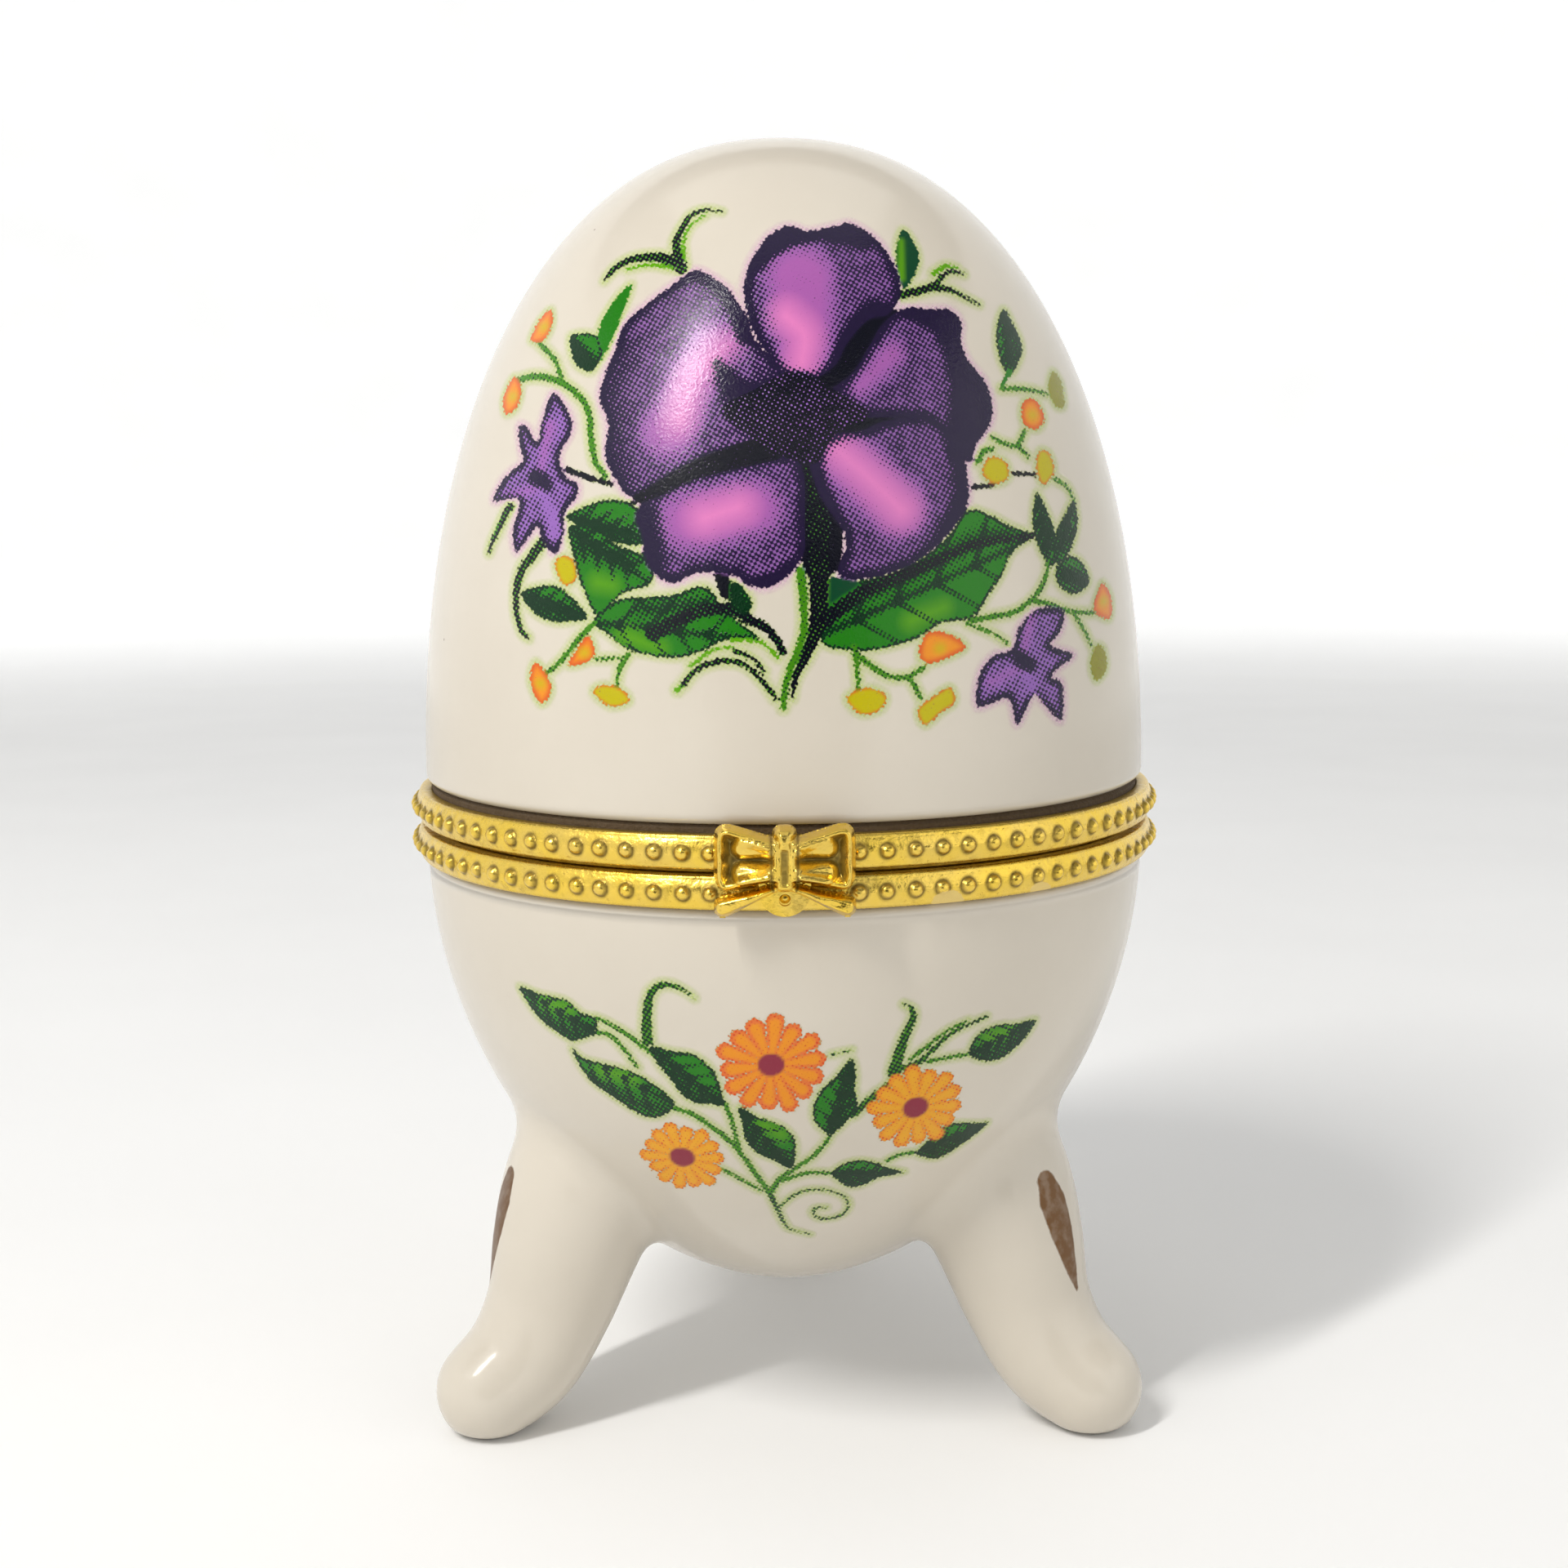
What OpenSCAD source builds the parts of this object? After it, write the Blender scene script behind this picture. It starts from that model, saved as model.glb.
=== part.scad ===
// Footed porcelain egg box with gilt brass rims, a rear hinge and a bow clasp.
// Millimetres, +Z up. The origin lies on the table below the egg's axis, the bow
// faces -Y and the hinge is at +Y. The lid turns about a line along X at the hinge.

/* [Egg] */
// Outer radius of the porcelain at the mouth, for bowl and lid alike
mouth_r = 27.4; // [24:0.1:36]
// Height of the lid's dome above its rim
lid_h = 47.25; // [36:0.25:60]
// Depth of the bowl from its rim to its underside
bowl_h = 34.6; // [28:0.1:44]
// Height of the bowl's underside above the table
belly_clear = 7.7; // [5:0.1:12]
// Thickness of the porcelain wall
wall = 2.5; // [2:0.1:3.4]
// Radius of the lid's rounded lower edge
rim_round = 0.7; // [0.3:0.05:0.7]

/* [Feet] */
// Number of feet, the last one under the hinge
foot_count = 3; // [3:1:4]
// Height of the thigh's centre, where a foot leaves the bowl
thigh_z = 22; // [18:0.5:24]
// Radius of the thigh
thigh_r = 6.5; // [5:0.1:7.5]
// Radius of the ankle
ankle_r = 4.7; // [3.5:0.1:5.5]
// Radius of the toe
toe_r = 4; // [3.4:0.1:5]
// How far the toe's centre lies inside the mouth radius
toe_inset = 1.6; // [0:0.1:5]

/* [Rims] */
// Height of each brass band
band_h = 2.3; // [1.8:0.1:3]
// Thickness of a band's outer wall at its edges
band_t = 0.95; // [0.7:0.05:1.2]
// How far the crown of a band stands out from its edges
crown = 0.25; // [0.1:0.05:0.4]
// Height of the flat land along the crown
land_h = 1.2; // [1.1:0.05:1.3]
// Thickness of the seat flange inside each band
flange_t = 0.6; // [0.4:0.05:0.7]
// Width of the open groove between the bands
seam_gap = 0.4; // [0.2:0.05:0.6]
// Air between the two seat flanges inside the groove
seat_gap = 0.05; // [0.03:0.01:0.1]
// Height of the guide lip that centres the lid
lip_h = 0.7; // [0.4:0.05:0.8]
// Thickness of the guide lip
lip_t = 0.5; // [0.4:0.05:0.7]
// Radial clearance between guide lip and lid band
lip_gap = 0.3; // [0.2:0.05:0.5]
// Height of the lid's porcelain shoulder above its band
lid_crevice = 0.55; // [0.3:0.05:0.8]
// Thickness of the cement between porcelain and brass
cement_t = 0.3; // [0.2:0.05:0.4]
// Thickness of the cement under each porcelain rim
bed_t = 0.15; // [0.1:0.05:0.3]

/* [Beads] */
// Radius of one bead
bead_r = 0.5; // [0.4:0.02:0.54]
// Spacing of the beads around the band
bead_pitch = 1.95; // [1.4:0.05:3]
// How far a bead's centre lies below the crown
bead_sink = 0.1; // [0.06:0.01:0.15]

/* [Hinge] */
// Width of the hinge
hinge_w = 9; // [7:0.1:12]
// Radius of the hinge pin
pin_r = 0.5; // [0.4:0.05:0.6]
// Outer radius of the knuckles
knuckle_r = 1.1; // [0.9:0.05:1.4]
// Width of the lid's centre knuckle
lid_knuckle_w = 3; // [2:0.1:4]
// Radial running clearance of the pin in the lid's knuckle
pin_gap = 0.05; // [0.02:0.01:0.1]
// Radial clearance of the pin in the base's knuckles
pin_seat_gap = 0.01; // [0.01:0.01:0.02]
// Clearance between the hinge's moving faces
hinge_gap = 0.15; // [0.1:0.05:0.25]
// Air between the knuckles and the bands
knuckle_gap = 0.3; // [0.2:0.05:0.5]
// Thickness of a leaf's plate
leaf_t = 0.7; // [0.5:0.05:0.9]
// Thickness of a leaf's stop flange
stop_t = 1; // [0.6:0.1:1]
// Angle at which the stop flanges meet
open_angle = 100; // [90:1:110]

/* [Clasp] */
// Width of the bow
bow_w = 9.2; // [7:0.1:12]
// Height of the bow
bow_h = 6.1; // [5.6:0.1:7]
// Thickness of the bow's plate at its middle
bow_t = 1.3; // [1:0.1:2]
// Width of the spring tongue behind the bow
tongue_w = 3.4; // [2.6:0.1:4]
// Thickness of the spring tongue
tongue_t = 0.35; // [0.25:0.05:0.5]
// Air between the tongue and the crown of the base band
tongue_gap = 0.45; // [0.4:0.05:0.6]
// Radius of the catch nub on the base band
nub_r = 0.6; // [0.5:0.05:0.8]
// Radius of the detent hole in the tongue
detent_r = 0.4; // [0.3:0.05:0.6]
// Air between the nub and the tongue's back
nub_gap = 0.05; // [0.03:0.01:0.1]

/* [Hidden] */
$fn = 96;

PORCELAIN = "#ece6df";
GILT = "#c9a227";
CEMENT = "#4a3524";
STEEL = "#9a9a98";

// Heights of the rim stack, from the bowl's shoulder up to the lid's shoulder
bowl_rim_z = belly_clear + bowl_h;
base_band_top = bowl_rim_z + band_h;
lid_band_z = base_band_top + seam_gap;
lid_band_top = lid_band_z + band_h;
lid_rim_z = lid_band_top + lid_crevice;
seam_z = base_band_top + seam_gap / 2;
base_bead_z = bowl_rim_z + band_h / 2;
lid_bead_z = lid_band_z + band_h / 2;

// Radii of the rim stack, from the porcelain's bore outward
bore_r = mouth_r - wall;
spigot_r = mouth_r - rim_round;
seat_r = spigot_r + cement_t;
band_r = seat_r + band_t;
crown_r = band_r + crown;
lip_ledge = 0.5;
lip_r = bore_r + lip_ledge;
lid_flange_r = lip_r + lip_t + lip_gap;
spigot_end = flange_t + bed_t;
lid_cement_rise = lid_crevice * 0.55;

// Curve of an egg half: radius as a share of the mouth radius at a share of the height
LID_CURVE = [2.15, 2.26];
BOWL_CURVE = [1.85, 1.8];
CURVE_STEPS = 26;
function egg_share(t, curve) = pow(max(0, 1 - pow(t, curve[0])), 1 / curve[1]);
function egg_arc(r, h, curve, t0 = 0) =
    [for (i = [0:CURVE_STEPS])
        let (t = t0 + (1 - t0) * sin(90 * i / CURVE_STEPS))
        [r * egg_share(t, curve), h * t]];
function reversed(list) = [for (i = [len(list) - 1:-1:0]) list[i]];
function raised(list, z) = [for (p = list) [p[0], z + p[1]]];
function lowered(list, z) = [for (p = list) [p[0], z - p[1]]];
function quarter(cx, cz, r, from, steps = 6) =
    [for (i = [0:steps]) [cx + r * cos(from + 90 * i / steps), cz + r * sin(from + 90 * i / steps)]];

// ---------- Feet ----------
// Each foot runs down from the thigh over the ankle to the toe. A station holds
// its share of the way out, its share of the thigh's height and its radius.
thigh_in = 5.6;
thigh_taper = 0.35;
thigh_s = mouth_r * egg_share((bowl_rim_z - thigh_z) / bowl_h, BOWL_CURVE) - thigh_in;
toe_s = mouth_r - toe_inset;
FOOT = [[0, 1, thigh_r],
        [0.23, 0.79, thigh_r - thigh_taper],
        [0.37, 0.62, (thigh_r + ankle_r) / 2],
        [0.52, 0.41, ankle_r],
        [0.72, 0.24, (ankle_r + toe_r) / 2],
        [1, 0.14, toe_r]];
// A limb between two stations is a shade slimmer than the balls at its ends
LIMB_SHARE = 0.996;
function foot_s(i) = thigh_s + (toe_s - thigh_s) * FOOT[i][0];
function foot_z(i) = thigh_z * FOOT[i][1];

module limb(i) {
    run = foot_s(i + 1) - foot_s(i);
    drop = foot_z(i) - foot_z(i + 1);
    translate([foot_s(i), 0, foot_z(i)])
        rotate([0, 180 - atan2(run, drop), 0])
            cylinder(h = norm([run, drop]), r1 = FOOT[i][2] * LIMB_SHARE,
                     r2 = FOOT[i + 1][2] * LIMB_SHARE);
}

module foot() {
    for (i = [0:len(FOOT) - 1])
        translate([foot_s(i), 0, foot_z(i)])
            sphere(r = FOOT[i][2]);
    for (i = [0:len(FOOT) - 2])
        limb(i);
}

// ---------- Porcelain ----------
// Length by which a cutter runs past what it cuts
CUT = 1;
// Height at which the lid's curve takes over from its rounded edge
edge_lap = 0.1;

module bowl_cavity() {
    inner = lowered(egg_arc(bore_r, bowl_h - wall, BOWL_CURVE), bowl_rim_z);
    rotate_extrude()
        polygon(concat([[0, base_band_top + CUT], [bore_r, base_band_top + CUT]], inner));
}

module base_porcelain() color(PORCELAIN) {
    outer = lowered(egg_arc(mouth_r, bowl_h, BOWL_CURVE), bowl_rim_z);
    difference() {
        union() {
            rotate_extrude()
                polygon(concat([[0, base_band_top - spigot_end],
                                [spigot_r, base_band_top - spigot_end],
                                [spigot_r, bowl_rim_z]], outer));
            for (k = [1:foot_count])
                rotate([0, 0, 90 + 360 * k / foot_count])
                    foot();
        }
        bowl_cavity();
        translate([0, 0, -toe_r])
            cylinder(h = toe_r, r = 2 * mouth_r);
    }
}

module lid_porcelain() color(PORCELAIN) {
    edge = quarter(mouth_r - rim_round, lid_rim_z + rim_round, rim_round, -90);
    outer = raised(egg_arc(mouth_r, lid_h, LID_CURVE, (rim_round + edge_lap) / lid_h), lid_rim_z);
    inner = raised(egg_arc(bore_r, lid_h - wall, LID_CURVE), lid_rim_z);
    rotate_extrude()
        polygon(concat([[bore_r, lid_band_z + spigot_end], [spigot_r, lid_band_z + spigot_end]],
                       edge, outer, reversed(inner)));
}

// ---------- Brass bands ----------
// The beads stop short of the bow in front and of the hinge behind
bead_clear = 0.1;
function half_sector(width) = asin((width / 2 + bead_r + bead_clear) / crown_r);
function beaded(a, width, centre) = abs(a - centre) > half_sector(width);

module bead_row(z) {
    count = round(2 * PI * crown_r / bead_pitch);
    for (k = [0:count - 1])
        let (a = 360 * (k + 0.5) / count)
            if (beaded(a, bow_w, 270) && beaded(a, hinge_w, 90))
                rotate([0, 0, a])
                    translate([crown_r - bead_sink, 0, z])
                        sphere(r = bead_r, $fn = 24);
}

// Outline of a band's outer wall, from its lower to its upper inner corner
function wall_outline(z) =
    [[seat_r, z], [band_r, z], [crown_r, z + (band_h - land_h) / 2],
     [crown_r, z + (band_h + land_h) / 2], [band_r, z + band_h], [seat_r, z + band_h]];

module base_band() color(GILT) {
    flange_z = base_band_top - flange_t;
    rotate_extrude()
        polygon(concat(wall_outline(bowl_rim_z),
                       [[lip_r + lip_t, base_band_top], [lip_r + lip_t, base_band_top + lip_h],
                        [lip_r, base_band_top + lip_h], [lip_r, flange_z], [seat_r, flange_z]]));
    bead_row(base_bead_z);
}

module lid_band() color(GILT) {
    flange_z = base_band_top + seat_gap;
    flange_top = lid_band_z + flange_t;
    rotate_extrude()
        polygon(concat(wall_outline(lid_band_z),
                       [[seat_r, flange_top], [lid_flange_r, flange_top],
                        [lid_flange_r, flange_z], [seat_r, flange_z]]));
    bead_row(lid_bead_z);
}

// ---------- Cement ----------
// Each ring of cement beds the porcelain's spigot on the flange and fills the gap around it
module base_cement() color(CEMENT)
    rotate_extrude()
        polygon([[lip_r, base_band_top - flange_t], [lip_r, base_band_top - spigot_end],
                 [spigot_r, base_band_top - spigot_end], [spigot_r, bowl_rim_z],
                 [seat_r, bowl_rim_z], [seat_r, base_band_top - flange_t]]);

module lid_cement() color(CEMENT)
    rotate_extrude()
        polygon([[lid_flange_r, lid_band_z + flange_t], [seat_r, lid_band_z + flange_t],
                 [seat_r, lid_band_top], [seat_r, lid_band_top + lid_cement_rise],
                 [spigot_r, lid_rim_z], [spigot_r, lid_band_z + spigot_end],
                 [lid_flange_r, lid_band_z + spigot_end]]);

// ---------- Hinge ----------
hinge_y = crown_r + knuckle_gap + knuckle_r;
sweep_r = knuckle_r + hinge_gap;
side_knuckle_x = lid_knuckle_w / 2 + hinge_gap;
// Ease of the stop flanges, in degrees, their air over the knuckles and the plates' lift
stop_ease = 0.25;
stop_air = 0.05;
plate_lift = 0.1;
// Length and flare of the pin's peened ends
head_t = 0.25;
head_flare = 0.25;

module along_x(x0, x1)
    translate([x0, hinge_y, seam_z])
        rotate([90, 0, 90])
            linear_extrude(x1 - x0)
                children();

// Plate against the band and stop flange over the knuckles, seen along the hinge
module leaf_outline() {
    stop_slope = tan(open_angle / 2 + stop_ease);
    plate_y = hinge_y - crown_r;
    stop_z = sweep_r + stop_air;
    foot_z = seam_gap / 2 + plate_lift;
    polygon([[-plate_y - leaf_t, foot_z], [leaf_t - plate_y, foot_z],
             [leaf_t - plate_y, stop_z], [stop_z / stop_slope, stop_z],
             [(stop_z + stop_t) / stop_slope, stop_z + stop_t],
             [-plate_y - leaf_t, stop_z + stop_t]]);
}

module leaf_blank()
    difference() {
        along_x(-hinge_w / 2, hinge_w / 2)
            leaf_outline();
        translate([0, 0, seam_z])
            cylinder(h = 2 * band_h + lid_crevice, r = crown_r);
    }

module lid_hinge_leaf() color(GILT)
    difference() {
        union() {
            difference() {
                leaf_blank();
                along_x(lid_knuckle_w / 2, hinge_w)
                    circle(sweep_r);
                along_x(-hinge_w, -lid_knuckle_w / 2)
                    circle(sweep_r);
            }
            along_x(-lid_knuckle_w / 2, lid_knuckle_w / 2)
                circle(knuckle_r);
        }
        along_x(-hinge_w, hinge_w)
            circle(pin_r + pin_gap);
    }

module base_hinge_leaf() color(GILT)
    difference() {
        union() {
            difference() {
                translate([0, 0, 2 * seam_z])
                    mirror([0, 0, 1])
                        leaf_blank();
                along_x(-side_knuckle_x, side_knuckle_x)
                    circle(sweep_r);
            }
            along_x(side_knuckle_x, hinge_w / 2)
                circle(knuckle_r);
            along_x(-hinge_w / 2, -side_knuckle_x)
                circle(knuckle_r);
        }
        along_x(-hinge_w, hinge_w)
            circle(pin_r + pin_seat_gap);
    }

// The pin's ends are peened over outside the knuckles
module hinge_pin() color(STEEL) {
    along_x(-hinge_w / 2 - head_t, hinge_w / 2 + head_t)
        circle(pin_r);
    for (side = [-1, 1])
        translate([side * hinge_w / 2, hinge_y, seam_z])
            rotate([0, side * 90, 0])
                cylinder(h = head_t, r1 = pin_r + head_flare, r2 = pin_r);
}

// ---------- Clasp ----------
tongue_back = crown_r + tongue_gap;
tongue_face = tongue_back + tongue_t;
tongue_drop = 0.15;
nub_drop = 0.6;
tongue_foot_z = bowl_rim_z - tongue_drop;
nub_z = tongue_foot_z + tongue_w / 2 - nub_drop;

module front_ring(r0, r1, z0, z1)
    translate([0, 0, z0])
        difference() {
            cylinder(h = z1 - z0, r = r1);
            translate([0, 0, -CUT])
                cylinder(h = z1 - z0 + 2 * CUT, r = r0);
        }

// The tongue hangs from a pad on the lid band, and its round tip covers the nub
module clasp_tongue() color(GILT)
    difference() {
        intersection() {
            union() {
                front_ring(tongue_back, tongue_face, tongue_foot_z, lid_band_top);
                front_ring(crown_r, tongue_face, lid_band_z, lid_band_top);
            }
            union() {
                translate([-tongue_w / 2, -2 * mouth_r, tongue_foot_z + tongue_w / 2])
                    cube([tongue_w, 2 * mouth_r, lid_rim_z]);
                translate([0, 0, tongue_foot_z + tongue_w / 2])
                    rotate([90, 0, 0])
                        cylinder(h = 2 * mouth_r, r = tongue_w / 2);
            }
        }
        translate([0, 0, nub_z])
            rotate([90, 0, 0])
                cylinder(h = 2 * mouth_r, r = detent_r);
    }

module catch_nub() color(GILT)
    difference() {
        translate([0, nub_r + nub_gap - tongue_back, nub_z])
            sphere(r = nub_r);
        cylinder(h = lid_rim_z, r = crown_r);
    }

// Outlines of the bow's right half as shares of its half width and of its height
LOOP = [[0, 0.86], [0.42, 0.93], [0.82, 1], [0.94, 0.98], [1, 0.9], [0.99, 0.4],
        [0.93, 0.32], [0.8, 0.3], [0.4, 0.36], [0, 0.38]];
POCKET = [[0.2, 0.8], [0.8, 0.9], [0.88, 0.86], [0.87, 0.44], [0.8, 0.4], [0.2, 0.46]];
TAIL = [[0, 0.36], [0.5, 0.29], [0.97, 0.2], [1, 0.14], [0.98, 0.04], [0.9, 0],
        [0.74, 0.02], [0.35, 0.2], [0, 0.28]];
PLEATS = [[0.7, 0.66], [0.54, 0.48]];
bow_drop = 0.1;
bow_foot_z = bowl_rim_z - bow_drop;
pocket_depth = 0.4;
pleat_r = 0.32;
pleat_end = 0.38;
knot_r = 0.8;
knot_stand = 0.3;
knot_low = 0.27;
tail_step = 0.1;
// A rod is a shade slimmer than the balls at its ends
ROD_SHARE = 0.98;

function bow_points(shares) = [for (p = shares) [p[0] * bow_w / 2, p[1] * bow_h]];

module bow_plate(shares, y0, y1)
    translate([0, -y0, bow_foot_z])
        rotate([90, 0, 0])
            linear_extrude(y1 - y0)
                polygon(bow_points(shares));

module rod(from, to, r) {
    d = to - from;
    translate(from)
        rotate([0, atan2(d[0], d[2]), 0])
            cylinder(h = norm(d), r = r * ROD_SHARE);
    translate(from)
        sphere(r = r);
    translate(to)
        sphere(r = r);
}

module bow_half(face) {
    difference() {
        bow_plate(LOOP, crown_r, face);
        bow_plate(POCKET, face - pocket_depth, face + CUT);
    }
    bow_plate(TAIL, crown_r, face - tail_step);
    for (p = PLEATS)
        rod([knot_r * 0.8, -face + pocket_depth, bow_foot_z + p[1] * bow_h],
            [pleat_end * bow_w, -face + pocket_depth, bow_foot_z + p[0] * bow_h], pleat_r);
}

module bow_clasp() color(GILT) {
    face = tongue_face + bow_t;
    difference() {
        union() {
            bow_half(face);
            mirror([1, 0, 0])
                bow_half(face);
            rod([0, knot_r - face - knot_stand, bow_foot_z + knot_low * bow_h + knot_r],
                [0, knot_r - face - knot_stand, bow_foot_z + bow_h - knot_r], knot_r);
        }
        cylinder(h = lid_rim_z * 2, r = tongue_face);
    }
}

base_porcelain();
base_cement();
base_band();
base_hinge_leaf();
hinge_pin();
catch_nub();
lid_porcelain();
lid_cement();
lid_band();
lid_hinge_leaf();
clasp_tongue();
bow_clasp();
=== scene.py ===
"""Dresses a hinged egg box on three feet: glazed shells, gilt rims, bow catch and transfer flowers."""

import logging
import math
import random
from dataclasses import dataclass, field
from enum import Enum
from itertools import pairwise, product
from typing import Callable

import bmesh
import bpy
import numpy as np
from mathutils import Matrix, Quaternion, Vector


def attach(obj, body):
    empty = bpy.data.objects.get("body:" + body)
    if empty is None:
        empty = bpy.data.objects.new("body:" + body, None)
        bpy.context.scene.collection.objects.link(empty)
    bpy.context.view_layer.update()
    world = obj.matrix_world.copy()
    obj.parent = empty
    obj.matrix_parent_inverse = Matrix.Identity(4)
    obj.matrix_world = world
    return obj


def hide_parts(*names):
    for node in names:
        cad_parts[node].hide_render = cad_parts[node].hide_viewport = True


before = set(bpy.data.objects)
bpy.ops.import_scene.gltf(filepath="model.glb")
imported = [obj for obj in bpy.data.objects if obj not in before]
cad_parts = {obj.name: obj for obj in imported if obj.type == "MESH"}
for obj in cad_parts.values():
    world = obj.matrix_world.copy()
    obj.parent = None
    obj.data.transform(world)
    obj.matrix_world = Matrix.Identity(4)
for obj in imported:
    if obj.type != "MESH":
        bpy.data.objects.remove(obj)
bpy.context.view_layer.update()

LOG = logging.getLogger("egg_box")
MM = 0.001
FRONT = math.radians(270)
REAR = math.radians(90)
TURN = 2 * math.pi
FAR = 99.0
UNTOUCHED = -9.0
ON_AXIS = 1e-6
TINY = 1e-9
Array = np.ndarray
Material = bpy.types.Material
Socket = bpy.types.NodeSocket
BMesh = bmesh.types.BMesh
Point = tuple[float, float]
Points = tuple[Point, ...]


# ---- finishes


class Tone(Enum):
    """Colours of the glaze, the inks and the metals, as 8-bit values a maker would mix."""

    CREAM = (203, 195, 181)
    CLAY = (182, 172, 156)
    SPECK = (96, 80, 66)
    ORCHID = (130, 84, 152)
    PURPLE = (138, 94, 170)
    PLUM = (158, 86, 156)
    PINK = (226, 128, 182)
    DARK_VIOLET = (84, 56, 110)
    NIGHT = (10, 11, 22)
    INKWELL = (30, 20, 50)
    PINE = (6, 44, 20)
    GREEN = (30, 112, 16)
    FOREST = (12, 62, 36)
    LEAF = (60, 124, 12)
    LIME = (86, 150, 8)
    YELLOW = (180, 168, 4)
    OLIVE = (134, 132, 14)
    ORANGE = (220, 136, 28)
    FLAME = (198, 66, 32)
    CORAL = (212, 106, 48)
    MARIGOLD = (222, 156, 30)
    WINE = (132, 40, 58)
    HALO = (196, 216, 120)
    BLUSH = (228, 186, 214)
    BRONZE = (108, 76, 44)
    GOLD = (238, 202, 80)
    PALE_GOLD = (222, 194, 116)
    # A dark tarnish brown, which on the gilt also serves as painted shade.
    TARNISH_AND_SHADE = (70, 52, 20)
    BRASS = (212, 172, 70)
    PLASTER = (84, 68, 50)

    @property
    def deep(self) -> bool:
        """Whether the ink prints as dark dots over a lighter ground."""
        return self in (Tone.NIGHT, Tone.FOREST, Tone.DARK_VIOLET, Tone.INKWELL, Tone.PINE)

    def linear(self) -> tuple[float, float, float]:
        """Works out the tone's scene-linear values.

        Returns:
            Its red, green and blue.
        """
        return tuple(
            c / 12.92 if c <= 0.04045 else ((c + 0.055) / 1.055) ** 2.4
            for c in (v / 255 for v in self.value)
        )


class Number:
    """A shader value that adds Math nodes as it is used in an expression."""

    def __init__(self, graph: "Graph", socket: Socket) -> None:
        """Wraps an output socket of a graph."""
        self.graph = graph
        self.socket = socket

    def _math(self, kind: str, *terms: "Number | float") -> "Number":
        """Adds a Math node of that kind and gives its result."""
        node = self.graph.node("Math", {"operation": kind}, dict(enumerate(terms)))
        return Number(self.graph, node.outputs[0])

    def __add__(self, other: "Number | float") -> "Number":
        """Self plus other."""
        return self._math("ADD", self, other)

    __radd__ = __add__

    def __sub__(self, other: "Number | float") -> "Number":
        """Self minus other."""
        return self._math("SUBTRACT", self, other)

    def __rsub__(self, other: float) -> "Number":
        """Other minus self."""
        return self._math("SUBTRACT", other, self)

    def __mul__(self, other: "Number | float") -> "Number":
        """Self times other."""
        return self._math("MULTIPLY", self, other)

    __rmul__ = __mul__

    def __lt__(self, other: "Number | float") -> "Number":
        """One where self is below other, and zero elsewhere."""
        return self._math("LESS_THAN", self, other)

    def sine(self) -> "Number":
        """The sine of self, in radians."""
        return self._math("SINE", self)

    def highest(self, other: "Number | float") -> "Number":
        """The larger of self and other."""
        return self._math("MAXIMUM", self, other)

    def rise(self, low: float, high: float) -> "Number":
        """A smooth step of self.

        Args:
            low: The value where the step is zero.
            high: The value where the step is one.

        Returns:
            Zero to one, easing at both ends.
        """
        node = self.graph.node(
            "MapRange",
            {"interpolation_type": "SMOOTHSTEP", "clamp": True},
            {"Value": self, "From Min": low, "From Max": high},
        )
        return Number(self.graph, node.outputs["Result"])


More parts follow.
